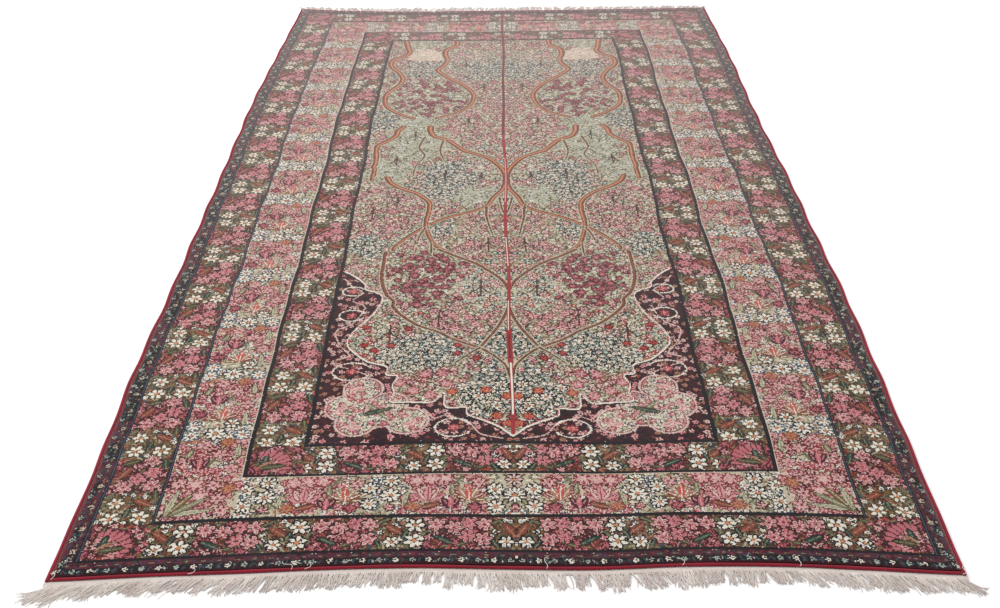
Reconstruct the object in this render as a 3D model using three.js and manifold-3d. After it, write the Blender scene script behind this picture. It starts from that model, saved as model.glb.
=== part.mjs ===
// A hand-knotted rug lying flat on the floor, with red overcast cords and a warp fringe at both ends.
// Millimetres, +Z up. The origin is on the floor under the middle of the rug, the near end is at -Y.
import * as THREE from "three";
import { mergeVertices } from "three/addons/utils/BufferGeometryUtils.js";
import Module from "manifold-3d";

// Woven rug, measured over its cords from corner to corner
const RUG_WIDTH = 1500;
const RUG_LENGTH = 2850;
const RUG_THICKNESS = 7;
const PILE_BEVEL = 1.6;
const PIECE_GAP = 0.3;
const END_GAP = 0.5;

// Overcast cords round the rug
const CORD_WIDTH = 7;
const CORD_SIDES = 8;
const SIDE_STEPS = 64;
const END_STEPS = 30;

// Flat web that the fringe grows out of
const WEB_WIDTH = 8;
const WEB_BOTTOM = 0.4;
const WEB_TOP = 3;

// Fringe locks, square in section and lying level on the floor
const LOCK_PITCH = 14;
const LOCK_STEPS = 2;
const LOCK_ROOT_WIDTH = 6;
const LOCK_TIP_WIDTH = 3.2;
const LOCK_ROOT_HEIGHT = 3.8;
const LOCK_TIP_HEIGHT = 2;
const LOCK_ROOT_DEPTH = 4;
const LEAN_JITTER = 2;
const LENGTH_JITTER = 0.12;
const CURL_SHARE = 0.2;
const FRINGE_SEED = 11;

// Scallops that the overcasting draws into the long sides
const SCALLOP_DEPTH = 1.8;
const SCALLOP_PITCH = 190;

// How far the long sides stand out from a straight line, at even steps from the near to the far corner
const SIDE_STRAY = [
  { left: 3, right: 2 },
  { left: 6, right: 8 },
  { left: 16, right: 15 },
  { left: 16, right: 20 },
  { left: 20, right: 17 },
  { left: 23, right: 17 },
  { left: 28, right: 11 },
  { left: 31, right: 9 },
  { left: 25, right: 12 },
  { left: 18, right: 7 },
  { left: 11, right: 0 },
];

// How far the ends stand out from a straight line, at even steps from the left to the right corner
const END_STRAY = [
  { near: 8, far: 14 },
  { near: -1, far: -6 },
  { near: -8, far: -18 },
  { near: -16, far: -22 },
  { near: -20, far: -20 },
  { near: -16, far: -16 },
  { near: -14, far: -14 },
  { near: -21, far: -10 },
  { near: -20, far: -6 },
  { near: -11, far: -1 },
  { near: 0, far: 6 },
];

// How the fringe lies, at even steps from left to right: lean in degrees towards +X, length in millimetres
const NEAR_LIE = [
  { lean: -51, length: 60 },
  { lean: -47, length: 58 },
  { lean: -40, length: 53 },
  { lean: -20, length: 50 },
  { lean: -14, length: 50 },
  { lean: 3, length: 47 },
  { lean: 14, length: 44 },
  { lean: 15, length: 52 },
  { lean: 14, length: 48 },
  { lean: 12, length: 46 },
  { lean: 24, length: 49 },
  { lean: 22, length: 53 },
  { lean: 42, length: 56 },
];
const FAR_LIE = [
  { lean: -26, length: 44 },
  { lean: -12, length: 50 },
  { lean: -8, length: 56 },
  { lean: 4, length: 58 },
  { lean: 10, length: 55 },
  { lean: 2, length: 58 },
  { lean: -6, length: 56 },
  { lean: 0, length: 54 },
  { lean: 8, length: 58 },
  { lean: 14, length: 54 },
  { lean: 10, length: 52 },
  { lean: 16, length: 50 },
  { lean: 24, length: 44 },
];

// Places along each end, from the middle, where a lock has worn away
const NEAR_GAPS = [-534, -385, -137, 103, 212];
const FAR_GAPS = [-610, -420, -260, -60, 150, 330, 480, 640];

const HALF_WIDTH = RUG_WIDTH / 2;
const HALF_LENGTH = RUG_LENGTH / 2;
const CORD_RADIUS = CORD_WIDTH / 2;
const END_CORD_LENGTH = RUG_WIDTH - 2 * (CORD_WIDTH + END_GAP);

const wasm = await Module();
wasm.setup();

const WOOL_MATERIAL = new THREE.MeshStandardMaterial({ color: 0x7d4650, roughness: 0.95, metalness: 0 });
const CORD_MATERIAL = new THREE.MeshStandardMaterial({ color: 0x971a2c, roughness: 0.85, metalness: 0 });
const COTTON_MATERIAL = new THREE.MeshStandardMaterial({ color: 0xcbbdb2, roughness: 0.92, metalness: 0 });

// A smooth line through one column of a table whose rows are evenly spaced from -half to half
function lineThrough(rows, column, half) {
  const points = rows.map((row, index) => new THREE.Vector2(index, row[column]));
  const curve = new THREE.SplineCurve(points);
  return (place) => {
    const share = THREE.MathUtils.clamp((place + half) / (2 * half), 0, 1);
    return curve.getPoint(share).y;
  };
}

const leftStray = lineThrough(SIDE_STRAY, "left", HALF_LENGTH);
const rightStray = lineThrough(SIDE_STRAY, "right", HALF_LENGTH);
const nearStray = lineThrough(END_STRAY, "near", HALF_WIDTH);
const farStray = lineThrough(END_STRAY, "far", HALF_WIDTH);

// Scallops fade out towards the corners
function scallop(v) {
  const fade = 1 - (v / HALF_LENGTH) ** 4;
  return Math.max(fade, 0) * SCALLOP_DEPTH * Math.sin((2 * Math.PI * v) / SCALLOP_PITCH);
}

// Where a point of the straight rug lies once its sides and ends have strayed
function strayed(u, v) {
  const rightShare = (u + HALF_WIDTH) / RUG_WIDTH;
  const farShare = (v + HALF_LENGTH) / RUG_LENGTH;
  const left = leftStray(v) + scallop(v);
  const right = rightStray(v) + scallop(v);
  const x = u - (1 - rightShare) * left + rightShare * right;
  const y = v - (1 - farShare) * nearStray(u) + farShare * farStray(u);
  return new THREE.Vector2(x, y);
}

// Moves every point of a straight piece to where it lies on the floor
function layOut(geometry) {
  const position = geometry.attributes.position;
  for (let i = 0; i < position.count; i += 1) {
    const place = strayed(position.getX(i), position.getY(i));
    position.setXY(i, place.x, place.y);
  }
  geometry.computeVertexNormals();
  return geometry;
}

function evenPlaces(half, steps) {
  return Array.from({ length: steps + 1 }, (_, index) => half * ((2 * index) / steps - 1));
}

// The pile, inside its cords, with its rim rounded off
function rugGeometry() {
  const inset = CORD_WIDTH + PIECE_GAP;
  const halfWidth = HALF_WIDTH - inset;
  const halfLength = HALF_LENGTH - inset;
  const across = evenPlaces(HALF_WIDTH, END_STEPS).slice(1, -1);
  const along = evenPlaces(HALF_LENGTH, SIDE_STEPS).slice(1, -1);
  const outline = [
    strayed(-halfWidth, -halfLength),
    ...across.map((u) => strayed(u, -halfLength)),
    strayed(halfWidth, -halfLength),
    ...along.map((v) => strayed(halfWidth, v)),
    strayed(halfWidth, halfLength),
    ...across.toReversed().map((u) => strayed(u, halfLength)),
    strayed(-halfWidth, halfLength),
    ...along.toReversed().map((v) => strayed(-halfWidth, v)),
  ];
  const geometry = new THREE.ExtrudeGeometry(new THREE.Shape(outline), {
    depth: RUG_THICKNESS - 2 * PILE_BEVEL,
    bevelThickness: PILE_BEVEL,
    bevelSize: PILE_BEVEL,
    bevelOffset: -PILE_BEVEL,
    bevelSegments: 1,
    steps: 1,
  });
  geometry.translate(0, 0, PILE_BEVEL);
  return geometry;
}

// A straight cord along Y with one of its flats on the floor
function straightCord(length, steps) {
  const cornerRadius = CORD_RADIUS / Math.cos(Math.PI / CORD_SIDES);
  const geometry = new THREE.CylinderGeometry(cornerRadius, cornerRadius, length, CORD_SIDES, steps);
  geometry.rotateY(Math.PI / CORD_SIDES);
  geometry.translate(0, 0, CORD_RADIUS);
  return geometry;
}

function sideCordGeometry(side) {
  const geometry = straightCord(RUG_LENGTH, SIDE_STEPS);
  geometry.translate(side * (HALF_WIDTH - CORD_RADIUS), 0, 0);
  return layOut(geometry);
}

// An end cord stops short of the side cords, with its steps level with those of the web outside it
function endCordGeometry(end) {
  const geometry = straightCord(RUG_WIDTH, END_STEPS);
  const position = geometry.attributes.position;
  for (let i = 0; i < position.count; i += 1) {
    position.setY(i, THREE.MathUtils.clamp(position.getY(i), -END_CORD_LENGTH / 2, END_CORD_LENGTH / 2));
  }
  geometry.rotateZ(Math.PI / 2);
  geometry.translate(0, end * (HALF_LENGTH - CORD_RADIUS), 0);
  return layOut(geometry);
}

function webGeometry(end) {
  const geometry = new THREE.BoxGeometry(RUG_WIDTH, WEB_WIDTH, WEB_TOP - WEB_BOTTOM, END_STEPS);
  const middle = HALF_LENGTH + END_GAP + WEB_WIDTH / 2;
  geometry.translate(0, end * middle, (WEB_TOP + WEB_BOTTOM) / 2);
  return layOut(geometry);
}

// The next repeatable number from -1 to 1
function swing() {
  return 2 * THREE.MathUtils.seededRandom() - 1;
}

// One tapering lock, bent along its lean and lying on the floor from the web outwards
function lockGeometry(end, root, leanDegrees, length) {
  const geometry = new THREE.CylinderGeometry(1, 1, 1, 4, LOCK_STEPS);
  geometry.rotateY(Math.PI / 4);
  const lean = THREE.MathUtils.degToRad(leanDegrees);
  const curl = CURL_SHARE * lean;
  const position = geometry.attributes.position;
  for (let i = 0; i < position.count; i += 1) {
    const reach = position.getY(i) + 0.5;
    const across = end * position.getX(i) * Math.SQRT2;
    const up = position.getZ(i) * Math.SQRT1_2 + 0.5;
    const halfWidth = THREE.MathUtils.lerp(LOCK_ROOT_WIDTH, LOCK_TIP_WIDTH, reach) / 2;
    const height = THREE.MathUtils.lerp(LOCK_ROOT_HEIGHT, LOCK_TIP_HEIGHT, reach);
    const path = lean + (curl * reach) / 2;
    const heading = lean + curl * reach;
    const x = root.x + length * reach * Math.sin(path) + across * halfWidth * Math.cos(heading);
    const out = length * reach * Math.cos(path) - across * halfWidth * Math.sin(heading);
    position.setXYZ(i, x, root.y + end * out, up * height);
  }
  return geometry;
}

function toSolid(geometry) {
  geometry.deleteAttribute("normal");
  geometry.deleteAttribute("uv");
  const merged = mergeVertices(geometry);
  const vertProperties = new Float32Array(merged.attributes.position.array);
  const triVerts = new Uint32Array(merged.index.array);
  return new wasm.Manifold(new wasm.Mesh({ numProp: 3, vertProperties, triVerts }));
}

function toGeometry(solid) {
  const { vertProperties, triVerts } = solid.getMesh();
  const geometry = new THREE.BufferGeometry();
  geometry.setAttribute("position", new THREE.BufferAttribute(new Float32Array(vertProperties), 3));
  geometry.setIndex(new THREE.BufferAttribute(new Uint32Array(triVerts), 1));
  geometry.computeVertexNormals();
  return geometry;
}

// The web with its locks, rooted inside it at an even pitch and missing where they have worn away
function fringeGeometry(end, lie, gaps) {
  const leanAt = lineThrough(lie, "lean", HALF_WIDTH);
  const lengthAt = lineThrough(lie, "length", HALF_WIDTH);
  const count = Math.floor((RUG_WIDTH - LOCK_ROOT_WIDTH) / LOCK_PITCH);
  const rootPlace = HALF_LENGTH + END_GAP + WEB_WIDTH - LOCK_ROOT_DEPTH;
  THREE.MathUtils.seededRandom(FRINGE_SEED + end);
  let solid = toSolid(webGeometry(end));
  for (let index = 0; index <= count; index += 1) {
    const u = (index - count / 2) * LOCK_PITCH;
    if (gaps.some((gap) => Math.abs(gap - u) < LOCK_PITCH / 2)) {
      continue;
    }
    const root = strayed(u, end * rootPlace);
    const lean = leanAt(u) + LEAN_JITTER * swing();
    const length = lengthAt(u) * (1 + LENGTH_JITTER * swing());
    solid = solid.add(toSolid(lockGeometry(end, root, lean, length)));
  }
  return toGeometry(solid);
}

function piece(name, geometry, material) {
  const mesh = new THREE.Mesh(geometry, material);
  mesh.name = name;
  return mesh;
}

const NEAR = -1;
const FAR = 1;
const LEFT = -1;
const RIGHT = 1;

const persianRug = new THREE.Group();
persianRug.add(
  piece("rug", rugGeometry(), WOOL_MATERIAL),
  piece("selvedge_left", sideCordGeometry(LEFT), CORD_MATERIAL),
  piece("selvedge_right", sideCordGeometry(RIGHT), CORD_MATERIAL),
  piece("end_binding_near", endCordGeometry(NEAR), CORD_MATERIAL),
  piece("end_binding_far", endCordGeometry(FAR), CORD_MATERIAL),
  piece("fringe_near", fringeGeometry(NEAR, NEAR_LIE, NEAR_GAPS), COTTON_MATERIAL),
  piece("fringe_far", fringeGeometry(FAR, FAR_LIE, FAR_GAPS), COTTON_MATERIAL),
);

export default persianRug;
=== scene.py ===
"""A hand-knotted rug with a flowering-tree field, dressed over its solids on a pale studio floor."""

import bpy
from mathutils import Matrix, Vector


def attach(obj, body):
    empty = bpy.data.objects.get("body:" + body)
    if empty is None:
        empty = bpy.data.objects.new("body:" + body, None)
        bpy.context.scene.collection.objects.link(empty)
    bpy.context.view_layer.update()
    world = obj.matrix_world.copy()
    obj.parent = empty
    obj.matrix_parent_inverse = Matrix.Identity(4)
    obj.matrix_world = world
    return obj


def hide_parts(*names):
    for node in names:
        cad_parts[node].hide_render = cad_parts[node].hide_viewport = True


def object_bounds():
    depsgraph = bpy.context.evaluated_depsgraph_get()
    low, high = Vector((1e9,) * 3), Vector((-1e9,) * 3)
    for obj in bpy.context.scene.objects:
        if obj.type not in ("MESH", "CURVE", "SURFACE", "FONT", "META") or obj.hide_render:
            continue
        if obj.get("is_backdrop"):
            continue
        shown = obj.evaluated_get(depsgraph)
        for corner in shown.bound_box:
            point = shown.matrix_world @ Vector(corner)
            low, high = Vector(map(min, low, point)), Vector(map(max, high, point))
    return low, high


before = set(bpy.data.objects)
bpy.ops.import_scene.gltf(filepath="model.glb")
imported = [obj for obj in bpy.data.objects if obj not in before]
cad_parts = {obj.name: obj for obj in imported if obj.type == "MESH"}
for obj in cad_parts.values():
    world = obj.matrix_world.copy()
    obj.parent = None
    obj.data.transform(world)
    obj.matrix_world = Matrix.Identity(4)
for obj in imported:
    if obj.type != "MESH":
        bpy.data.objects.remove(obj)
CAD_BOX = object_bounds()

import copy
import logging
import math
from abc import ABC, abstractmethod
from dataclasses import dataclass
from enum import Enum, IntEnum
from typing import ClassVar, Protocol, Sequence

import bpy
import numpy as np
from mathutils import Vector

LOG = logging.getLogger("persian_rug")
MM = 0.001
BODY = "root"
BARE = -1

Piece = bpy.types.Object
Material = bpy.types.Material
Socket = bpy.types.NodeSocket
Feed = Socket | float | tuple[float, ...]
Point = tuple[float, float]
Point3 = tuple[float, float, float]


class Yarn(IntEnum):
    """The dyed yarns on the loom, by their number in the chart."""

    CREAM, IVORY, BLUSH, PINK, ROSE, MADDER, CORAL, ORANGE = range(8)
    RED, MAROON, PLUM, NAVY, INK, SLATE, MIST, CELADON = range(8, 16)
    SAGE, MOSS, TEAL, RUSSET, BROWN, KHAKI, SAND, CRIMSON = range(16, 24)


(CREAM, IVORY, BLUSH, PINK, ROSE, MADDER, CORAL, ORANGE, RED, MAROON, PLUM, NAVY, INK,
 SLATE, MIST, CELADON, SAGE, MOSS, TEAL, RUSSET, BROWN, KHAKI, SAND, CRIMSON) = Yarn
YARN_COLOURS: dict[Yarn, str] = {
    CREAM: "E8E2D6", IVORY: "D3C7B4", BLUSH: "DEC4BD", PINK: "DAA6A8",
    ROSE: "C98086", MADDER: "9E4851", CORAL: "CB6552", ORANGE: "D09A70",
    RED: "B02A33", MAROON: "5E1A31", PLUM: "743850", NAVY: "221F30",
    INK: "292322", SLATE: "5A6C7C", MIST: "B6BDB6", CELADON: "C9C4AE",
    SAGE: "9B987C", MOSS: "6E674A", TEAL: "3C5F58", RUSSET: "9E5C42",
    BROWN: "664034", KHAKI: "96794A", SAND: "B8967F", CRIMSON: "8E1528",
}
YARN_COUNT = len(Yarn)


class RugEnd(Enum):
    """The two short ends of the rug, with the sign of their Y."""

    NEAR = -1
    FAR = 1


class RugSide(Enum):
    """The two long sides of the rug, with the sign of their X."""

    LEFT = -1
    RIGHT = 1


def linear_colour(code: str) -> tuple[float, float, float, float]:
    """Turns a six-digit display colour into scene-linear light.

    Args:
        code: Red, green and blue as hexadecimal pairs.

    Returns:
        Linear red, green and blue with full alpha.
    """
    parts = [int(code[i : i + 2], 16) / 255 for i in (0, 2, 4)]
    light = [p / 12.92 if p <= 0.04045 else ((p + 0.055) / 1.055) ** 2.4 for p in parts]
    return light[0], light[1], light[2], 1.0


def smooth_line(values: Sequence[float], share: np.ndarray) -> np.ndarray:
    """Reads a smooth line through evenly spaced values.

    Args:
        values: The heights that the line passes through.
        share: Places along the line, from 0 to 1.

    Returns:
        The line's height at each place.
    """
    table = np.asarray(values, float)
    last = len(table) - 1
    spot = np.clip(np.asarray(share, float), 0, 1) * last
    low = np.minimum(np.floor(spot).astype(int), last)
    t = spot - low
    before, here = table[np.maximum(low - 1, 0)], table[low]
    after, beyond = table[np.minimum(low + 1, last)], table[np.minimum(low + 2, last)]
    leave, arrive = (after - before) / 2, (beyond - here) / 2
    cubic = (2 * here - 2 * after + leave + arrive) * t**3
    square = (3 * after - 3 * here - 2 * leave - arrive) * t**2
    return cubic + square + leave * t + here


def smooth_path(points: Sequence[Point], step: float) -> np.ndarray:
    """Draws a smooth path through a few points.

    Args:
        points: The points that the path passes through, in millimetres.
        step: The distance between the samples.

    Returns:
        Samples along the path, one row each.
    """
    table = np.asarray(points, float)
    length = float(np.hypot(*np.diff(table, axis=0).T).sum())
    share = np.linspace(0, 1, max(int(length / step), 2))
    return np.column_stack([smooth_line(table[:, 0], share), smooth_line(table[:, 1], share)])


@dataclass(frozen=True)
class RugShape:
    """The rug's plan on the floor in millimetres, with the way its sides and ends stray from straight."""

    width: float = 1500.0
    length: float = 2850.0
    thickness: float = 7.0
    cord: float = 7.0
    gap: float = 0.3
    end_gap: float = 0.5
    scallop_depth: float = 1.8
    scallop_pitch: float = 190.0
    left_stray: tuple[float, ...] = (3, 6, 16, 16, 20, 23, 28, 31, 25, 18, 11)
    right_stray: tuple[float, ...] = (2, 8, 15, 20, 17, 17, 11, 9, 12, 7, 0)
    near_stray: tuple[float, ...] = (8, -1, -8, -16, -20, -16, -14, -21, -20, -11, 0)
    middle_stray: tuple[float, ...] = (18, 15, 11, 7, 5, 6, 7, 7, 5, 0, 0)
    far_stray: tuple[float, ...] = (14, -6, -18, -22, -20, -16, -14, -10, -6, -1, 6)

    @property
    def half_width(self) -> float:
        """Half the woven width."""
        return self.width / 2

    @property
    def half_length(self) -> float:
        """Half the woven length."""
        return self.length / 2

    @property
    def inset(self) -> float:
        """The distance from the woven edge to the pile."""
        return self.cord + self.gap

    def strayed(self, u: np.ndarray, v: np.ndarray) -> tuple[np.ndarray, np.ndarray]:
        """Finds where points of the straight rug lie on the floor.

        Args:
            u: Places across the straight rug.
            v: Places along the straight rug.

        Returns:
            X and Y on the floor, in millimetres.
        """
        right_share = (u + self.half_width) / self.width
        far_share = (v + self.half_length) / self.length
        fade = np.maximum(1 - (v / self.half_length) ** 4, 0)
        scallop = fade * self.scallop_depth * np.sin(2 * math.pi * v / self.scallop_pitch)
        left = smooth_line(self.left_stray, far_share) + scallop
        right = smooth_line(self.right_stray, far_share) + scallop
        near = smooth_line(self.near_stray, right_share)
        far = smooth_line(self.far_stray, right_share)
        x = u - (1 - right_share) * left + right_share * right
        y = v - (1 - far_share) * near + far_share * far
        return x, y


RUG = RugShape()


class Motif(Protocol):
    """Anything that can be drawn on the chart round its own middle."""

    @property
    def reach(self) -> float:
        """The farthest that the motif comes from its middle, in millimetres."""

    def yarns(self, x: np.ndarray, y: np.ndarray) -> np.ndarray:
        """The yarn for each place, or BARE where the ground stays."""


@dataclass(frozen=True)
class Pen:
    """A place on the chart with its own turn and, if wanted, a mirrored hand."""

    u: float
    v: float
    turn: float = 0.0
    flip: bool = False

    def local(self, du: np.ndarray, dv: np.ndarray) -> tuple[np.ndarray, np.ndarray]:
        """Turns offsets on the chart into the pen's own directions.

        Args:
            du: Offsets across the rug.
            dv: Offsets along the rug.

        Returns:
            Offsets along the pen's own x and y.
        """
        angle = math.radians(self.turn)
        x = du * math.cos(angle) + dv * math.sin(angle)
        y = dv * math.cos(angle) - du * math.sin(angle)
        return x, -y if self.flip else y

    def moved(self, x: float, y: float, turn: float = 0.0) -> "Pen":
        """Places another pen in this one's directions.

        Args:
            x: Offset along this pen's x.
            y: Offset along this pen's y.
            turn: The new pen's turn against this one, in degrees.

        Returns:
            The new pen.
        """
        angle = math.radians(self.turn)
        side = -y if self.flip else y
        u = self.u + x * math.cos(angle) - side * math.sin(angle)
        v = self.v + x * math.sin(angle) + side * math.cos(angle)
        return Pen(u, v, self.turn + (-turn if self.flip else turn), self.flip)


class Chart:
    """The weaver's chart of the pile: one yarn for each knot."""

    def __init__(self, columns: int, rows: int, seed: int) -> None:
        """Lays out an empty chart.

        Args:
            columns: Knots across.
            rows: Knots along.
            seed: The seed of its random numbers.
        """
        self.knots = np.full((rows, columns), int(IVORY), np.int16)
        self.u = (RUG.half_width - RUG.inset) * ((2 * np.arange(columns) + 1) / columns - 1)
        self.v = (RUG.half_length - RUG.inset) * ((2 * np.arange(rows) + 1) / rows - 1)
        self.dice = np.random.default_rng(seed)

    def blank(self, filling: int) -> "Chart":
        """Makes another chart of the same knots, filled with one number.

        Args:
            filling: The number.

        Returns:
            The other chart.
        """
        other = copy.copy(self)
        other.knots = np.full_like(self.knots, filling)
        return other

    def window(self, u: float, v: float, reach: float) -> tuple[slice, slice]:
        """Finds the rows and columns within reach of a place.

        Args:
            u: The place across the rug.
            v: The place along the rug.
            reach: How far to look, in millimetres.

        Returns:
            The rows and the columns.
        """
        rows = slice(*np.searchsorted(self.v, (v - reach, v + reach)))
        columns = slice(*np.searchsorted(self.u, (u - reach, u + reach)))
        return rows, columns

    def stamp(self, motif: Motif, pen: Pen) -> None:
        """Draws a motif at a pen.

        Args:
            motif: What to draw.
            pen: Where to draw it.
        """
        rows, columns = self.window(pen.u, pen.v, motif.reach)
        part = self.knots[rows, columns]
        if not part.size:
            return
        du, dv = np.meshgrid(self.u[columns] - pen.u, self.v[rows] - pen.v)
        drawn = motif.yarns(*pen.local(du, dv))
        part[drawn != BARE] = drawn[drawn != BARE]

    def stroke(self, path: np.ndarray, start: float, end: float, yarn: Yarn) -> None:
        """Draws a line that may taper.

        Args:
            path: Samples along the line.
            start: Its width at the start.
            end: Its width at the end.
            yarn: Its yarn.
        """
        for place, width in zip(path, np.linspace(start, end, len(path))):
            rows, columns = self.window(place[0], place[1], width / 2 + 0.5)
            du = self.u[columns] - place[0]
            dv = self.v[rows] - place[1]
            inside = du[None, :] ** 2 + dv[:, None] ** 2 <= (width / 2) ** 2
            self.knots[rows, columns][inside] = yarn

    def inside(self, outline: np.ndarray) -> np.ndarray:
        """Finds the knots inside a closed outline.

        Args:
            outline: The outline's points in order.

        Returns:
            True for each knot inside.
        """
        crossed = np.zeros(self.knots.shape, bool)
        for (u0, v0), (u1, v1) in zip(outline, np.roll(outline, -1, axis=0)):
            if v0 == v1:
                continue
            low, high = np.searchsorted(self.v, sorted((v0, v1)))
            edge = u0 + (self.v[low:high] - v0) * (u1 - u0) / (v1 - v0)
            crossed[low:high] ^= self.u[None, :] < edge[:, None]
        return crossed

    def blotches(self, size: float) -> np.ndarray:
        """Makes soft random blotches.

        Args:
            size: The size of a blotch, in knots.

        Returns:
            A value from 0 to 1 for each knot.
        """
        rows, columns = self.knots.shape
        coarse = self.dice.random((int(rows / size) + 3, int(columns / size) + 3))
        row, column = np.arange(rows) / size, np.arange(columns) / size
        r0, c0 = row.astype(int), column.astype(int)
        fr, fc = (row - r0)[:, None], (column - c0)[None, :]
        top = coarse[np.ix_(r0, c0)] * (1 - fc) + coarse[np.ix_(r0, c0 + 1)] * fc
        low = coarse[np.ix_(r0 + 1, c0)] * (1 - fc) + coarse[np.ix_(r0 + 1, c0 + 1)] * fc
        return top * (1 - fr) + low * fr

    def work_unevenly(self, share: float) -> None:
        """Lets some knots take the yarn of a neighbour, as hand knotting does.

        Args:
            share: The share of knots that stray.
        """
        rows, columns = np.indices(self.knots.shape)
        stray = self.dice.random(self.knots.shape) < share
        rows = rows + stray * self.dice.integers(-1, 2, self.knots.shape)
        columns = columns + stray * self.dice.integers(-1, 2, self.knots.shape)
        high, wide = self.knots.shape
        self.knots = self.knots[np.clip(rows, 0, high - 1), np.clip(columns, 0, wide - 1)]

    def mirror(self) -> None:
        """Repeats the left half of the chart on the right."""
        half = self.knots.shape[1] // 2
        self.knots[:, half:] = self.knots[:, :half][:, ::-1]


def petal_places(x: np.ndarray, y: np.ndarray, petals: int,
                 phase: float) -> tuple[np.ndarray, np.ndarray, np.ndarray]:
    """Folds the places round a flower onto one petal.

    Args:
        x: Places along the flower's x.
        y: Places along its y.
        petals: The number of petals.
        phase: The turn of the first petal, as a share of the step between petals.

    Returns:
        The distance from the heart, and the places along and across the petal.
    """
    away = np.hypot(x, y)
    step = 2 * math.pi / petals
    fold = (np.arctan2(y, x) - phase * step) % step - step / 2
    return away, away * np.cos(fold), away * np.sin(fold)


@dataclass(frozen=True)
class Daisy:
    """A flat flower with separate round petals, a rim round each and a small heart."""

    radius: float
    petals: int = 6
    petal: Yarn = CREAM
    rim: Yarn = NAVY
    heart: Yarn = ORANGE
    rim_width: float = 2.8
    phase: float = 0.5

    MIDDLE, HALF_LENGTH, HALF_WIDTH, HEART = 0.64, 0.35, 0.7, 0.25

    @property
    def reach(self) -> float:
        """The petals with their rim."""
        return self.radius + self.rim_width + 1

    def yarns(self, x: np.ndarray, y: np.ndarray) -> np.ndarray:
        """Draws the rim, then the petals, then the heart.

        Args:
            x: Places along the motif's own x.
            y: Places along its y.

        Returns:
            The yarn at each place, or BARE.
        """
        out = np.full(x.shape, BARE)
        away, along, across = petal_places(x, y, self.petals, self.phase)
        middle = self.MIDDLE * self.radius
        half_length = self.HALF_LENGTH * self.radius
        half_width = self.HALF_WIDTH * middle * math.sin(2 * math.pi / self.petals / 2)
        along = along - middle
        near = np.hypot(along / (half_length + self.rim_width), across / (half_width + self.rim_width))
        out[(near < 1) | (away < middle)] = self.rim
        out[np.hypot(along / half_length, across / half_width) < 1] = self.petal
        out[away < self.HEART * self.radius] = self.heart
        return out


@dataclass(frozen=True)
class Rose:
    """A full round flower with round petals, dark gaps between them and a dark heart."""

    radius: float
    petals: int = 6
    petal: Yarn = ROSE
    line: Yarn = MAROON
    inner: Yarn = ROSE
    heart: Yarn = MAROON
    rim: Yarn = MAROON
    tip: Yarn = BLUSH
    phase: float = 0.0

    MIDDLE, HALF_LENGTH, TIP_FROM, INNER, HEART = 0.62, 0.38, 0.68, 0.3, 0.13
    GAP, RIM_WIDTH, LINE_WIDTH = 0.9, 2.6, 1.2

    @property
    def reach(self) -> float:
        """The lobes with their rim."""
        return self.radius + 3

    def yarns(self, x: np.ndarray, y: np.ndarray) -> np.ndarray:
        """Draws the rim, then the petals with pale edges and dark gaps, then the inner ring and the heart.

        Args:
            x: Places along the motif's own x.
            y: Places along its y.

        Returns:
            The yarn at each place, or BARE.
        """
        out = np.full(x.shape, BARE)
        away, along, across = petal_places(x, y, self.petals, self.phase)
        middle = self.MIDDLE * self.radius
        along = along - middle
        long = self.HALF_LENGTH * self.radius
        wide = middle * math.sin(2 * math.pi / self.petals / 2) - self.GAP
        for more, yarn in ((self.RIM_WIDTH, self.rim), (self.LINE_WIDTH, self.line)):
            out[(np.hypot(along / (long + more), across / (wide + more)) < 1) | (away < middle)] = yarn
        near = np.hypot(along / long, across / wide)
        out[near < 1] = self.tip
        out[near < self.TIP_FROM] = self.petal
        out[away < self.INNER * self.radius] = self.inner
        out[away < self.HEART * self.radius] = self.heart
        return out


@dataclass(frozen=True)
class Floret:
    """A tiny round flower a few knots wide."""

    radius: float
    petal: Yarn = CREAM
    heart: Yarn = SLATE
    rim: Yarn = INK
    rim_width: float = 1.6
    petals: int = 5

    @property
    def reach(self) -> float:
        """The petals with their rim."""
        return self.radius + self.rim_width + 1

    def yarns(self, x: np.ndarray, y: np.ndarray) -> np.ndarray:
        """Draws the rim, then the petals, then the heart.

        Args:
            x: Places along the motif's own x.
            y: Places along its y.

        Returns:
            The yarn at each place, or BARE.
        """
        out = np.full(x.shape, BARE)
        away = np.hypot(x, y)
        edge = self.radius * (0.78 + 0.22 * np.cos(np.arctan2(y, x) * self.petals))
        out[away < edge + self.rim_width] = self.rim
        out[away < edge] = self.petal
        out[away < 0.34 * self.radius] = self.heart
        return out


@dataclass(frozen=True)
class Leaf:
    """A pointed leaf along x with a rib, a rim and, if wanted, a toothed edge."""

    length: float
    width: float
    blade: Yarn = MOSS
    rib: Yarn = SAGE
    rim: Yarn | None = None
    teeth: int = 0

    @property
    def reach(self) -> float:
        """Half the leaf's length, with its rim."""
        return max(self.length, self.width) / 2 + 3

    def yarns(self, x: np.ndarray, y: np.ndarray) -> np.ndarray:
        """Draws the rim, then the blade, then the rib.

        Args:
            x: Places along the motif's own x.
            y: Places along its y.

        Returns:
            The yarn at each place, or BARE.
        """
        out = np.full(x.shape, BARE)
        share = np.clip(x / self.length + 0.5, 0, 1)
        across = np.abs(y)
        swell = np.sin(math.pi * share**0.85) ** 0.8 * self.width / 2
        if self.teeth:
            swell = swell * (1.12 - 0.4 * (share * self.teeth % 1))
        within = (share > 0) & (share < 1)
        if self.rim is not None:
            out[within & (across < swell + 1.8)] = self.rim
        out[within & (across < swell)] = self.blade
        out[within & (across < 1.0) & (share < 0.85)] = self.rib
        return out


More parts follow.
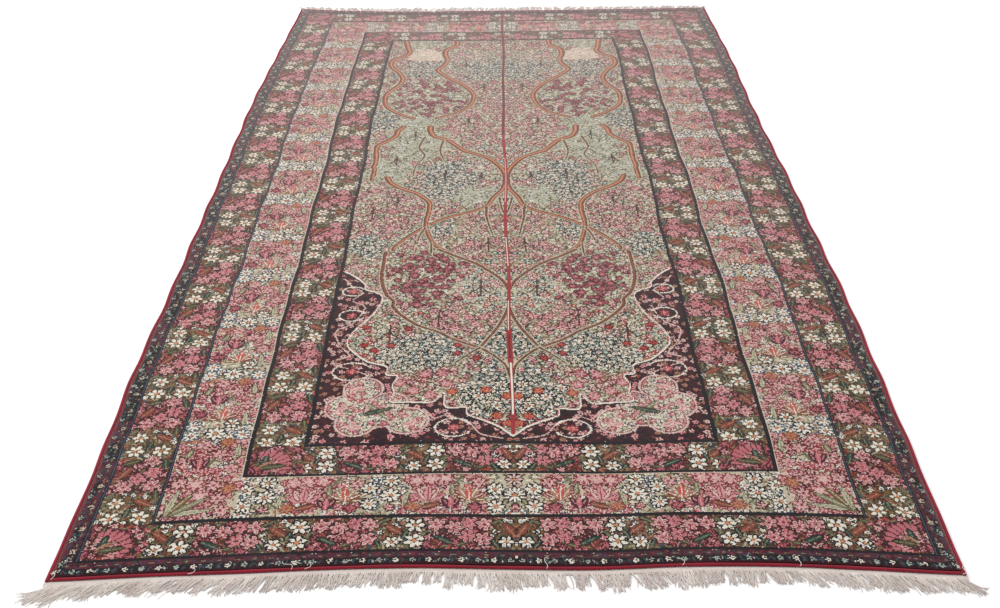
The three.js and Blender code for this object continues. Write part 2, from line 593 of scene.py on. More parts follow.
@dataclass(frozen=True)
class Fan:
    """A fan palmette that opens along x in rows of petals."""

    radius: float
    spread: float = 75.0
    petals: int = 7
    outer: Yarn = PINK
    inner: Yarn = ROSE
    line: Yarn = CREAM
    rim: Yarn = MADDER
    calyx: Yarn = SAGE

    @property
    def reach(self) -> float:
        """The tips of the petals, with their rim."""
        return self.radius + 3

    def yarns(self, x: np.ndarray, y: np.ndarray) -> np.ndarray:
        """Draws the rim, then two rows of petals with lines between them, then the calyx.

        Args:
            x: Places along the motif's own x.
            y: Places along its y.

        Returns:
            The yarn at each place, or BARE.
        """
        out = np.full(x.shape, BARE)
        away = np.hypot(x, y)
        turn = np.degrees(np.arctan2(y, x))
        place = (turn / self.spread + 1) / 2 * self.petals
        within = np.abs(turn) < self.spread
        lobe = np.abs(np.sin(math.pi * place))
        edge = self.radius * (0.84 + 0.16 * lobe) * (1 - 0.22 * (turn / self.spread) ** 2)
        out[within & (away < edge + 2)] = self.rim
        out[within & (away < edge)] = self.outer
        seam = np.abs((place + 0.5) % 1 - 0.5) * away < self.radius * 0.07
        out[within & (away < edge) & seam] = self.line
        row = 0.6 * self.radius * (0.85 + 0.15 * np.abs(np.cos(math.pi * place)))
        out[within & (away < row + 2)] = self.rim
        out[within & (away < row)] = self.inner
        inner_seam = np.abs(place % 1 - 0.5) * away < self.radius * 0.06
        out[within & (away < row) & inner_seam] = self.line
        out[within & (away < 0.26 * self.radius)] = self.calyx
        return out


@dataclass(frozen=True)
class Patch:
    """A plain oblong of one yarn, or of one bed on a plan of beds, with rounded corners."""

    width: float
    height: float
    yarn: int

    @property
    def reach(self) -> float:
        """Half the diagonal."""
        return math.hypot(self.width, self.height) / 2

    def yarns(self, x: np.ndarray, y: np.ndarray) -> np.ndarray:
        """The yarn inside the oblong."""
        shape = np.abs(2 * x / self.width) ** 6 + np.abs(2 * y / self.height) ** 6
        return np.where(shape < 1, int(self.yarn), BARE)


Row = tuple[Motif, float, float] | tuple[Motif, float, float, float]


@dataclass(frozen=True)
class Spray:
    """Several motifs that are drawn together, each with its x, its y and, if wanted, its turn."""

    rows: tuple[Row, ...]

    def draw(self, chart: Chart, pen: Pen) -> None:
        """Draws each motif at its place from the pen."""
        for motif, *place in self.rows:
            chart.stamp(motif, pen.moved(*place))


def plume(place: Point, turn: float, length: float, yarns: Sequence[Yarn], rib: Yarn,
          rim: Yarn | None = None) -> list[Row]:
    """Spreads pointed petals from one place.

    Args:
        place: Where the petals grow from.
        turn: The way the middle one points, in degrees.
        length: The length of the middle petal.
        yarns: The yarn of each petal.
        rib: The yarn of their ribs.
        rim: The yarn round them.

    Returns:
        A row for each petal, the outer ones first.
    """
    rows: list[Row] = []
    for number in sorted(range(len(yarns)), key=lambda n: -abs(2 * n + 1 - len(yarns))):
        side = number - (len(yarns) - 1) / 2
        long = length * (1 - 0.07 * abs(side))
        angle = turn + 29 * side
        x = place[0] + math.cos(math.radians(angle)) * long / 2
        y = place[1] + math.sin(math.radians(angle)) * long / 2
        rows.append((Leaf(long, length * 0.3, yarns[number], rib, rim), x, y, angle))
    return rows


@dataclass(frozen=True)
class Bed:
    """A piece of meadow: its ground yarns and what grows there."""

    ground: tuple[Yarn, ...]
    flowers: tuple[Motif, ...]
    leaves: tuple[Motif, ...]
    share: float = 0.8
    green: float = 0.0


@dataclass(frozen=True)
class Meadow:
    """Flowers and leaves sown over part of the chart."""

    pitch: float = 13.0
    jitter: float = 0.38

    def sow(self, chart: Chart, beds: Sequence[Bed], where: np.ndarray) -> None:
        """Paints the ground of each bed and sows it.

        Args:
            chart: The chart to draw on.
            beds: The beds, by their number.
            where: The number of the bed at each knot, or BARE.
        """
        mood = chart.blotches(4) * 0.6 + chart.dice.random(where.shape) * 0.4
        for number, bed in enumerate(beds):
            mask = where == number
            count = len(bed.ground)
            shade = np.clip((mood[mask] * 1.7 - 0.35) * count, 0, count - 1).astype(int)
            chart.knots[mask] = np.asarray(bed.ground, int)[shade]
        for scale, flowering in ((0.8, False), (1.0, True)):
            self.scatter(chart, beds, where, self.pitch * scale, flowering)

    def scatter(self, chart: Chart, beds: Sequence[Bed], where: np.ndarray,
                pitch: float, flowering: bool) -> None:
        """Sows either the leaves or the flowers on a shaken grid.

        Args:
            chart: The chart to draw on.
            beds: The beds, by their number.
            where: The number of the bed at each knot, or BARE.
            pitch: The grid's pitch.
            flowering: True for flowers, false for leaves.
        """
        across = np.arange(float(chart.u[0]), pitch, pitch)
        along = np.arange(float(chart.v[0]), float(chart.v[-1]), pitch * 0.87)
        u, v = np.meshgrid(across, along)
        u[1::2] += pitch / 2
        u += chart.dice.uniform(-self.jitter, self.jitter, u.shape) * pitch
        v += chart.dice.uniform(-self.jitter, self.jitter, v.shape) * pitch
        rows = np.minimum(np.searchsorted(chart.v, v), where.shape[0] - 1)
        columns = np.minimum(np.searchsorted(chart.u, u), where.shape[1] - 1)
        number = where[rows, columns]
        luck, turn, pick = chart.dice.random((3, *u.shape))
        shares = np.asarray([bed.share if flowering else bed.green or bed.share for bed in beds])
        chosen = (number != BARE) & (luck < shares[number])
        sown = zip(u[chosen], v[chosen], turn[chosen] * 360, pick[chosen], number[chosen])
        for place_u, place_v, angle, kind, own in sown:
            choice = beds[own].flowers if flowering else beds[own].leaves
            if choice:
                chart.stamp(choice[int(kind * len(choice))], Pen(float(place_u), float(place_v), angle))


@dataclass(frozen=True)
class Band:
    """A border ring, by its distances from the woven sides and ends."""

    side_from: float
    side_to: float
    end_from: float
    end_to: float

    def mask(self, chart: Chart) -> np.ndarray:
        """Finds the knots in the ring.

        Args:
            chart: The chart with its knot places.

        Returns:
            True for each knot in the ring.
        """
        side = RUG.half_width - np.abs(chart.u)[None, :]
        end = RUG.half_length - np.abs(chart.v)[:, None]
        outer = (side >= self.side_from) & (end >= self.end_from)
        return outer & ~((side >= self.side_to) & (end >= self.end_to))

    def side_pen(self, v: float) -> Pen:
        """A pen on the ring's outer left edge, with x into the rug and y to the far end."""
        return Pen(self.side_from - RUG.half_width, v)

    def end_pen(self, u: float, end: RugEnd) -> Pen:
        """A pen on the ring's outer edge at one end, with y into the rug."""
        return Pen(u, end.value * (RUG.half_length - self.end_from), flip=end is RugEnd.FAR)


@dataclass(frozen=True)
class GuardBorder:
    """The narrow dark border beside the red cord, with florets and little plants."""

    band: Band = Band(7, 35, 7, 36)
    side_pitch: float = 108.0
    end_pitch: float = 108.0

    def repeat(self, spread: float, bright: Yarn) -> Spray:
        """Makes one repeat, with x along the border and y in from its edge.

        Args:
            spread: How far every other floret stands further in.
            bright: The yarn of every other floret.

        Returns:
            The florets and leaves.
        """
        rows: list[Row] = []
        for number in range(4):
            x = 27.0 * number
            petal = bright if number % 2 else MIST
            rows.append((Leaf(12, 3.4, TEAL, SLATE), x + 12, 9, 70))
            rows.append((Leaf(10, 3, TEAL, SAGE), x + 14, 21, 8))
            rows.append((Floret(5.6, petal, NAVY, INK), x, 9.5 + spread * (number % 2)))
        return Spray(tuple(rows))

    def draw(self, chart: Chart) -> None:
        """Draws the strips of ground and the repeats on every edge.

        Args:
            chart: The chart to draw on.
        """
        outer = Band(7, 24, 7, 24).mask(chart)
        inner = Band(24, 35, 24, 36).mask(chart)
        dark = Bed((INK, NAVY, INK, MAROON), (), (
            Leaf(7, 2.6, SLATE, SLATE), Leaf(7, 2.6, TEAL, TEAL), Leaf(6, 2.6, MIST, MIST),
            Leaf(7, 3, PLUM, PLUM), Leaf(6, 2.6, CREAM, MIST), Leaf(7, 3, SAGE, TEAL)), 0.8)
        wine = Bed((PLUM, PLUM, MAROON), (), (
            Leaf(8, 3, PLUM, MADDER), Leaf(7, 2.6, TEAL, TEAL), Leaf(8, 3, NAVY, NAVY),
            Leaf(6, 2.6, MIST, SLATE), Leaf(7, 3, SLATE, TEAL)), 0.75)
        side = Band(7, 35, 36, 36).mask(chart)
        patchy = chart.blotches(26) > 0.5
        plan = np.where(outer, 0, np.where(inner, 1, BARE))
        Meadow(10).sow(chart, [dark, wine], np.where(side, patchy.astype(int), plan))
        chart.knots[Band(7, 12, 7, 11).mask(chart)] = MAROON
        chart.knots[Band(6, 13, 7, 7).mask(chart)] = CRIMSON
        spray = self.repeat(0, CREAM)
        for u in np.arange(-10 - 7 * self.end_pitch, 40, self.end_pitch):
            for end in RugEnd:
                spray.draw(chart, self.band.end_pen(float(u), end))
        for v in np.arange(-1390, 1400, self.side_pitch):
            edge = self.band.side_pen(float(v))
            self.repeat(9, IVORY).draw(chart, Pen(edge.u, edge.v, 90, True))


@dataclass(frozen=True)
class RepeatBorder(ABC):
    """A wide border: beds, repeats along its sides and ends, and a block in each corner."""

    band: Band
    end_places: tuple[float, ...]
    side_start: float
    side_pitch: float
    side_margin: float
    sowing_pitch: float
    corner_bed: int
    corner_overlap: float

    SIDE_GROUND: ClassVar[Spray]
    END_GROUND: ClassVar[Spray]
    CENTRE_GROUND: ClassVar[Spray]
    SIDE_REPEAT: ClassVar[Spray]
    END_REPEAT: ClassVar[Spray]
    CENTRE: ClassVar[Spray]
    CORNER: ClassVar[Spray]

    @abstractmethod
    def beds(self) -> list[Bed]:
        """The beds, in the order of their numbers."""

    def repeat(self, chart: Chart, side: Spray, end: Spray, centre: Spray) -> None:
        """Draws sprays along both the sides and the ends.

        Args:
            chart: The chart to draw on.
            side: The spray that repeats on a side.
            end: The spray that repeats on an end.
            centre: The spray in the middle of an end.
        """
        last = RUG.half_length - self.band.end_to - self.side_margin
        for v in np.arange(self.side_start, last, self.side_pitch):
            side.draw(chart, self.band.side_pen(float(v)))
        for rug_end in RugEnd:
            for u in self.end_places:
                end.draw(chart, self.band.end_pen(u, rug_end))
            centre.draw(chart, self.band.end_pen(0, rug_end))

    def draw(self, chart: Chart) -> None:
        """Draws the beds, the repeats and the corners.

        Args:
            chart: The chart to draw on.
        """
        meadow = Meadow(self.sowing_pitch)
        plan = chart.blank(0)
        self.repeat(plan, self.SIDE_GROUND, self.END_GROUND, self.CENTRE_GROUND)
        meadow.sow(chart, self.beds(), np.where(self.band.mask(chart), plan.knots, BARE))
        self.repeat(chart, self.SIDE_REPEAT, self.END_REPEAT, self.CENTRE)
        wide = self.band.side_to - self.band.side_from
        high = self.band.end_to - self.band.end_from
        patch = Patch(wide + self.corner_overlap, high + self.corner_overlap, self.corner_bed)
        for end in RugEnd:
            corner = self.band.end_pen(self.band.side_from - RUG.half_width, end)
            block = chart.blank(BARE)
            block.stamp(patch, corner.moved(wide / 2, high / 2))
            meadow.sow(chart, self.beds(), block.knots)
            self.CORNER.draw(chart, corner)


class FlowerBed(IntEnum):
    """The beds of a flower border, by their number."""

    ROSES, DAISIES = range(2)


@dataclass(frozen=True)
class FlowerBorder(RepeatBorder):
    """A border of daisies and roses in turn on a dark ground."""

    side_pitch: float = 177.0
    side_margin: float = 40.0
    sowing_pitch: float = 11.0
    corner_bed: int = FlowerBed.ROSES
    corner_overlap: float = 6.0

    WHITE = Daisy(17.0)
    SIDE_WHITE = Daisy(16.5, rim=MOSS)
    SMALL_WHITE = Daisy(13.5)
    FLORET = Floret(5.5, CREAM, SLATE, NAVY)
    BROWN_LEAF = Leaf(38, 17, RUSSET, SAND, INK, 5)

    def beds(self) -> list[Bed]:
        """The red-brown ground under the roses and the darker one under the daisies.

        Returns:
            The beds, in the order of FlowerBed.
        """
        rose_leaves: tuple[Motif, ...] = (
            Leaf(13, 5, MOSS, SAGE), Leaf(12, 4, TEAL, TEAL), Leaf(13, 5, SAGE, MOSS),
            Leaf(12, 5, MADDER, ROSE), Leaf(12, 5, RUSSET, CORAL), Leaf(12, 5, ROSE, PINK),
        )
        daisy_leaves: tuple[Motif, ...] = (
            Leaf(14, 5, MOSS, SAGE), Leaf(13, 5, SAGE, CELADON), Leaf(12, 4, TEAL, SLATE),
            Leaf(12, 5, RUSSET, SAND), Leaf(11, 4, KHAKI, KHAKI),
        )
        buds: tuple[Motif, ...] = (Rose(8, 5), Rose(9, 5, MADDER, MAROON, ROSE, tip=ROSE))
        return [
            Bed((BROWN, RUSSET, BROWN, MAROON), buds, rose_leaves, 0.34, 0.75),
            Bed((BROWN, MOSS, RUSSET, SAGE), (*daisy_leaves, self.FLORET), daisy_leaves, 0.7),
        ]

    # One repeat on an end, with x along it and y in from the border's outer edge.
    END_ROSE = Rose(16.0)
    END_DEEP = Rose(15.5, line=BROWN, tip=PINK)
    END_REPEAT = Spray((
        (Leaf(30, 9, MOSS, SAGE, INK), -54, 68, 30), (Leaf(24, 8, TEAL, SAGE, INK), -16, 36, 70),
        (Leaf(22, 7, TEAL, SAGE, INK), -60, 12, 120), (Leaf(20, 7, SAGE, MOSS, INK), 18, 38, 40),
        (BROWN_LEAF, -36, 47, 142), (SMALL_WHITE, -38, 16), (FLORET, -28, 73), (FLORET, -58, 40),
        (Leaf(40, 12, TEAL, SAGE, INK, 4), 48, 22, 152), (Leaf(30, 9, MOSS, SAGE, BROWN), 86, 14, 20),
        (Leaf(26, 8, SAGE, MOSS, BROWN), 136, 44, 100), (END_ROSE, 36, 58), (END_DEEP, 92, 62, 15),
        (END_ROSE, 66, 52, 25), (END_DEEP, 90, 30, 40), (END_ROSE, 118, 60, 10), (END_ROSE, 116, 24, 40),
        (WHITE, 0, 57), (WHITE, 0, 19, 20),
    ))

    # One repeat on a side, with x in from the outer edge and y to the far end.
    SIDE_ROSE = Rose(16.5)
    SIDE_DEEP = Rose(16.0, line=BROWN, tip=PINK)
    SIDE_REPEAT = Spray((
        (Leaf(26, 9, TEAL, SAGE, INK), 46, 14, 80), (Leaf(26, 9, MOSS, SAGE, INK), 84, 58, 100),
        (Leaf(22, 8, SAGE, MOSS, INK), 8, 58, 60), (BROWN_LEAF, 66, 38, 150),
        (Daisy(15.0, rim=MOSS), 23, 39), (FLORET, 47, 58), (FLORET, 46, -12), (FLORET, 88, 22),
        (Leaf(26, 9, MOSS, SAGE, BROWN), 46, 88, 90), (Leaf(30, 10, TEAL, SAGE, BROWN), 84, 140, 100),
        (BROWN_LEAF, 18, 118, 60), (Leaf(34, 14, MOSS, SAGE, INK, 4), 24, 146, 20),
        (SIDE_DEEP, 44, 100, 10), (SIDE_ROSE, 24, 80), (SIDE_ROSE, 70, 82, 20), (SIDE_DEEP, 66, 116, 30),
        (SIDE_ROSE, 60, 148, 10), (SIDE_WHITE, 22, 0), (SIDE_WHITE, 70, 0, 20),
    ))

    # The corner block, with x and y in from the border's outer corner.
    CORNER = Spray((
        (Leaf(44, 12, MOSS, SAGE, INK), 18, 58, 80), (Leaf(44, 12, TEAL, SAGE, INK), 60, 16, 8),
        (Fan(62, 58, 9, ROSE, PINK, MAROON, MAROON, MOSS), 18, 16, 40),
        (Leaf(38, 14, TEAL, SAGE, INK, 4), 26, 38, 80),
        (Leaf(36, 14, SAND, RUSSET, BROWN, 4), 30, 28, 42), (Leaf(44, 14, MOSS, SAGE, INK, 4), 44, 22, 8),
    ))

    # The left half of the middle of an end, with y in from the border's outer edge.
    CENTRE = Spray((
        (Leaf(24, 8, TEAL, SAGE, INK), -36, 14, 120), (BROWN_LEAF, -12, 48, 120), (SMALL_WHITE, -17, 18),
        (FLORET, -36, 42), (FLORET, -9, 68), (Leaf(24, 8, MOSS, SAGE, INK), -34, 66, 30),
    ))

    # The patches under the daisies, on a side, on an end and in the middle of an end.
    SIDE_GROUND = Spray(((Patch(106, 88, FlowerBed.DAISIES), 46, 20),))
    END_GROUND = Spray(((Patch(94, 96, FlowerBed.DAISIES), -26, 39),))
    CENTRE_GROUND = Spray(((Patch(96, 96, FlowerBed.DAISIES), 0, 39),))


class CreamBed(IntEnum):
    """The beds of the cream border, by their number."""

    MIXED, PINKS, WHITES = range(3)


@dataclass(frozen=True)
class CreamBorder(RepeatBorder):
    """The wide pale border with navy-edged daisies, pink sprays and tall leaves."""

    end_places: tuple[float, ...] = (-651, -435, -219)
    side_start: float = -1151.0
    side_pitch: float = 192.0
    side_margin: float = 0.0
    sowing_pitch: float = 11.5
    corner_bed: int = CreamBed.PINKS
    corner_overlap: float = 4.0

    WHITE = Daisy(15, 8)
    SIDE_WHITE = Daisy(15, 8, rim=SLATE)
    PALE_ROSE = Rose(14.5, 6, PINK, MADDER, BLUSH, ORANGE, MADDER, BLUSH)
    PINK_ROSE = Rose(13.5, 6, PINK, MAROON, ROSE, MAROON, RUSSET, BLUSH)
    SALMON = Rose(12, 7, SAND, RUSSET, CORAL, RUSSET, RUSSET, ORANGE)
    WINE = Rose(12, 6, MADDER, MAROON, ROSE, MAROON, MAROON, ROSE)
    TAN = (KHAKI, RUSSET, SAND, CORAL, SAND, RUSSET, KHAKI)
    ROSY = (PINK, BLUSH, PINK, BLUSH, PINK)
    PURPLE = (PLUM, ROSE, PLUM)

    def beds(self) -> list[Bed]:
        """The mixed ground, the ground of the pink sprays and the one round the daisies.

        Returns:
            The beds, in the order of CreamBed.
        """
        green: tuple[Motif, ...] = (
            Leaf(16, 5, CELADON, SAGE), Leaf(14, 5, SAGE, MOSS), Leaf(12, 3.5, MOSS, MOSS),
            Leaf(13, 4.5, SAND, RUSSET), Leaf(13, 4.5, ROSE, PINK), Leaf(10, 3, PLUM, PLUM),
        )
        rosy: tuple[Motif, ...] = (
            Leaf(13, 5, PINK, MADDER), Leaf(13, 5, BLUSH, ROSE), Leaf(12, 4, SAGE, MOSS),
            Leaf(12, 4, SAND, RUSSET), Leaf(13, 4, CREAM, MADDER),
        )
        scribble = (Leaf(15, 2.6, RUSSET, RUSSET), Leaf(13, 2.6, BROWN, BROWN), Leaf(14, 3, CREAM, CREAM))
        bud = Rose(8, 5, PINK, MADDER, ROSE, MADDER, MADDER, BLUSH)
        return [
            Bed((IVORY, CELADON, IVORY, SAND), (bud, Floret(5, CREAM, ORANGE, SLATE)), green, 0.72),
            Bed((IVORY, CELADON, BLUSH), (bud, bud, Rose(8, 5)), (*rosy, *green[:4], *scribble),
                0.5, 0.8),
            Bed((CELADON, IVORY, SAGE), (Daisy(10, rim=SLATE, rim_width=2.0),), (*green, *scribble),
                0.12, 0.8),
        ]

    # One repeat on a side, with x in from the outer edge and y to the far end.
    SIDE_REPEAT = Spray((
        (Leaf(46, 10, CELADON, SAGE, MOSS), 103, -60, 92),
        (Leaf(44, 10, SAGE, CELADON, MOSS), 20, 24, 70), (Leaf(40, 9, CELADON, SAGE, MOSS), 108, 36, 95),
        (Leaf(34, 9, SAGE, MOSS), 64, 4, 60), *plume((60, -62), 88, 40, TAN, CREAM), (WINE, 17, -46),
        (SIDE_WHITE, 13, -82), (Daisy(19, 8), 57, -105), (Daisy(14), 82, -74), (SIDE_WHITE, 107, -108),
        (SIDE_WHITE, 14, -112, 20), *plume((44, -16), 90, 34, PURPLE, PINK, MAROON),
        (PINK_ROSE, 101, -15), (PINK_ROSE, 76, 27, 15), (SALMON, 85, 61), (PALE_ROSE, 112, 70, 15),
        (PINK_ROSE, 44, 54, 20), (SALMON, 20, 70), (Rose(9, 5), 12, 10), (Rose(9, 5), 58, 84),
    ))

    # One repeat on an end, with x along it and y in from the border's outer edge.
    END_REPEAT = Spray((
        (Leaf(40, 9, CELADON, SAGE, MOSS), 26, 40, 80), (Leaf(40, 9, SAGE, CELADON, MOSS), 109, 62, 95),
        (Leaf(36, 9, SAGE, MOSS), 122, 92, 60), *plume((66, 34), 90, 42, ROSY, MADDER, MADDER),
        *plume((138, 36), 92, 42, TAN, CREAM), (Leaf(38, 14, RUSSET, SAND, MAROON, 4), 72, 22, 20),
        (PALE_ROSE, 46, 88), (PALE_ROSE, 70, 92, 10), (PALE_ROSE, 95, 92, 20), (PINK_ROSE, 156, 82),
        *plume((106, 14), 90, 34, PURPLE, PINK, MAROON), (WINE, 148, 18), (SALMON, 40, 20),
        (WHITE, 0, 89), (WHITE, -37, 70), (Daisy(18, 8), 0, 50), (WHITE, -36, 28, 20),
        (Rose(9, 5), 0, 18),
    ))

    # The corner block, with x and y in from the border's outer corner.
    CORNER = Spray((
        (PALE_ROSE, 60, 58), (PINK_ROSE, 92, 50), (PALE_ROSE, 46, 90), (PINK_ROSE, 78, 86, 20),
        (SALMON, 106, 78), (PINK_ROSE, 102, 20), (PINK_ROSE, 18, 92),
        (Leaf(84, 11, CELADON, SAGE, MOSS), 48, 18, 8), (Leaf(84, 12, SAGE, CELADON, MOSS), 42, 32, 34),
        (Leaf(74, 11, KHAKI, CELADON, MOSS), 30, 40, 56), (Leaf(70, 11, CELADON, SAGE, MOSS), 16, 42, 80),
    ))

    # The left half of the middle of an end, with y in from the border's outer edge.
    CENTRE_WHITE = Daisy(16, 7)
    CENTRE = Spray((
        (Leaf(26, 8, SAGE, CELADON, MOSS), -18, 30, 60), (CENTRE_WHITE, -34, 64), (CENTRE_WHITE, -34, 20),
        (Daisy(16, 8, BLUSH), 0, 90), (Rose(10, 5, rim=MOSS), 0, 16), (Daisy(20, 12), 0, 50),
    ))

    # The white and the pink patches, on a side, on an end and in the middle of an end.
    PINK_BED, WHITE_BED = CreamBed.PINKS, CreamBed.WHITES
    SIDE_GROUND = Spray(((Patch(130, 70, WHITE_BED), 62, -96), (Patch(120, 70, PINK_BED), 72, 44)))
    END_GROUND = Spray(((Patch(80, 120, WHITE_BED), -18, 53), (Patch(96, 60, PINK_BED), 74, 80)))
    CENTRE_GROUND = Spray(((Patch(100, 120, WHITE_BED), 0, 53),))


@dataclass(frozen=True)
class BorderLines:
    """The thin lines between the borders, each a narrow ring of one yarn."""

    lines: tuple[tuple[Band, Yarn], ...] = (
        (Band(35, 42, 36, 42), NAVY),
        (Band(37.5, 39.5, 40, 40), SLATE),
        (Band(135, 142, 120, 127), NAVY),
        (Band(137.5, 139.5, 124, 124), SLATE),
        (Band(264.5, 267.5, 231.5, 234.5), IVORY),
        (Band(267.5, 275, 234.5, 240.5), NAVY),
        (Band(367, 375, 318, 326), NAVY),
    )

    def draw(self, chart: Chart) -> None:
        """Draws each line over whatever the borders left there."""
        for band, yarn in self.lines:
            chart.knots[band.mask(chart)] = yarn


class FieldBed(IntEnum):
    """The beds of the field, by their number."""

    MIXED, GREENS, PINKS, BLUES, CREAMS, REDS, PALES = range(7)


@dataclass(frozen=True)
class BedSpot:
    """An oval part of the field that one bed fills."""

    u: float
    v: float
    wide: float
    long: float
    bed: FieldBed


@dataclass(frozen=True)
class Branch:
    """A branch of the trees, tapering from its start to its end."""

    points: tuple[Point, ...]
    start: float
    end: float


class TreeField:
    """The field: paired trees over a flowering meadow, round a red pole."""

    HALF_WIDTH = 376.0
    HALF_LENGTH = 1100.0
    SPANDREL_TOP = -470.0
    THICK_FROM = 11.0

    MIXED, GREENS, PINKS, BLUES, CREAMS, REDS, PALES = FieldBed

    SPOTS: tuple[BedSpot, ...] = (
        BedSpot(-252, 955, 55, 60, CREAMS), BedSpot(-274, 1064, 70, 45, GREENS),
        BedSpot(-120, 1040, 70, 60, PINKS), BedSpot(-100, 940, 60, 60, PALES),
        BedSpot(-60, 830, 80, 90, BLUES), BedSpot(-250, 830, 60, 80, BLUES),
        BedSpot(-234, 600, 100, 150, REDS), BedSpot(-150, 530, 50, 60, REDS),
        BedSpot(-30, 620, 60, 120, MIXED), BedSpot(-224, 398, 75, 45, GREENS),
        BedSpot(-350, 420, 45, 70, BLUES), BedSpot(-90, 400, 90, 120, PINKS),
        BedSpot(-240, 240, 90, 120, GREENS), BedSpot(-150, 0, 62, 108, BLUES),
        BedSpot(-300, 60, 70, 90, GREENS), BedSpot(-82, -80, 60, 60, GREENS),
        BedSpot(-50, 140, 60, 90, PALES), BedSpot(-340, -60, 50, 70, PINKS),
        BedSpot(-290, -200, 60, 120, PINKS), BedSpot(-100, -260, 60, 90, PINKS),
        BedSpot(-142, -268, 38, 50, BLUES), BedSpot(-328, -350, 42, 56, BLUES),
        BedSpot(-88, -342, 60, 55, PINKS), BedSpot(-185, -500, 75, 110, REDS),
        BedSpot(-60, -560, 60, 90, PALES), BedSpot(-230, -690, 70, 70, MIXED),
        BedSpot(-90, -685, 75, 60, PINKS), BedSpot(-188, -796, 85, 70, BLUES),
        BedSpot(-26, -766, 50, 50, BLUES), BedSpot(-290, -760, 40, 60, PALES),
        BedSpot(-160, -915, 80, 60, PINKS), BedSpot(-40, -950, 60, 90, BLUES),
        BedSpot(-20, -1040, 50, 40, REDS),
    )

    BRANCHES: tuple[Branch, ...] = (
        Branch(((-332, 1104), (-318, 1024), (-310, 986), (-324, 952), (-352, 928), (-364, 888),
                (-356, 844), (-332, 800), (-316, 748), (-320, 704), (-338, 658), (-354, 618),
                (-356, 568), (-348, 522), (-324, 484), (-290, 450), (-258, 426)), 15, 10),
        Branch(((-158, 1102), (-158, 1052), (-188, 1012), (-192, 962), (-182, 910), (-192, 860),
                (-208, 820), (-194, 786), (-160, 734), (-126, 690), (-100, 638), (-90, 592), (-98, 536),
                (-118, 486), (-152, 452), (-192, 428)), 15, 10),
        Branch(((-182, 910), (-156, 870), (-128, 820), (-104, 784)), 5, 3),
        Branch(((-284, 364), (-298, 340), (-304, 300), (-330, 260), (-350, 232), (-352, 176),
                (-350, 128), (-352, 92), (-348, 68), (-350, 12)), 13, 9),
        Branch(((-208, 362), (-206, 326), (-192, 290), (-158, 266), (-136, 232), (-110, 190),
                (-78, 168), (-50, 144), (-28, 110), (-10, 68), (-2, 26), (-4, -20), (-12, -52),
                (-30, -90), (-48, -142), (-86, -174), (-128, -198), (-166, -226), (-198, -258),
                (-234, -304), (-264, -354), (-268, -374)), 13, 7),
        Branch(((-310, 26), (-298, -8), (-270, -40), (-234, -66), (-206, -98), (-190, -132),
                (-190, -178), (-196, -240), (-188, -296), (-170, -352), (-130, -394),
                (-108, -412)), 12, 7),
        Branch(((-168, 262), (-176, 206), (-174, 168), (-166, 134)), 6, 3),
        Branch(((-220, 290), (-234, 220), (-220, 164), (-240, 104), (-244, 38)), 6, 3),
        Branch(((-294, 160), (-300, 128), (-282, 90)), 5, 3),
        Branch(((-48, -146), (-46, -202), (-40, -248), (-32, -296)), 6, 3),
        Branch(((-16, -94), (-10, -146), (-4, -178)), 5, 3),
        Branch(((-196, -262), (-208, -300), (-212, -328)), 5, 3),
        Branch(((-180, -342), (-180, -390)), 5, 3),
        Branch(((-162, -372), (-118, -406), (-76, -436), (-36, -480), (-12, -518), (2, -568), (2, -608),
                (-8, -662), (-26, -716), (-48, -762), (-62, -790)), 8, 6),
        Branch(((-286, -384), (-288, -442), (-284, -512), (-270, -572), (-252, -602), (-250, -626),
                (-228, -662), (-194, -698), (-148, -728), (-114, -758), (-62, -790)), 8, 6),
        Branch(((-62, -790), (-36, -816), (-10, -856), (-4, -894)), 6, 4),
        Branch(((-62, -790), (-84, -812), (-114, -846)), 5, 3),
    )

    TWIGS: tuple[Point, ...] = (
        (-99, 420), (-293, 165), (-248, 330), (-65, 52), (-271, -96), (-44, -310), (-62, -515),
        (-160, 70), (-330, -150), (-250, -700), (-150, -640), (-120, 900), (-60, 700),
    )

    NICHE: tuple[Point, ...] = (
        (-370, -472), (-344, -496), (-318, -532), (-316, -552), (-292, -566), (-276, -586), (-282, -626),
        (-298, -670), (-320, -710), (-334, -748), (-334, -778), (-314, -808), (-290, -834), (-250, -854),
        (-248, -882), (-226, -888), (-234, -920), (-230, -944), (-234, -974), (-194, -978), (-154, -978),
        (-134, -948), (-128, -996), (-90, -998), (-86, -1020), (-56, -1038), (-26, -1058), (0, -1086),
    )

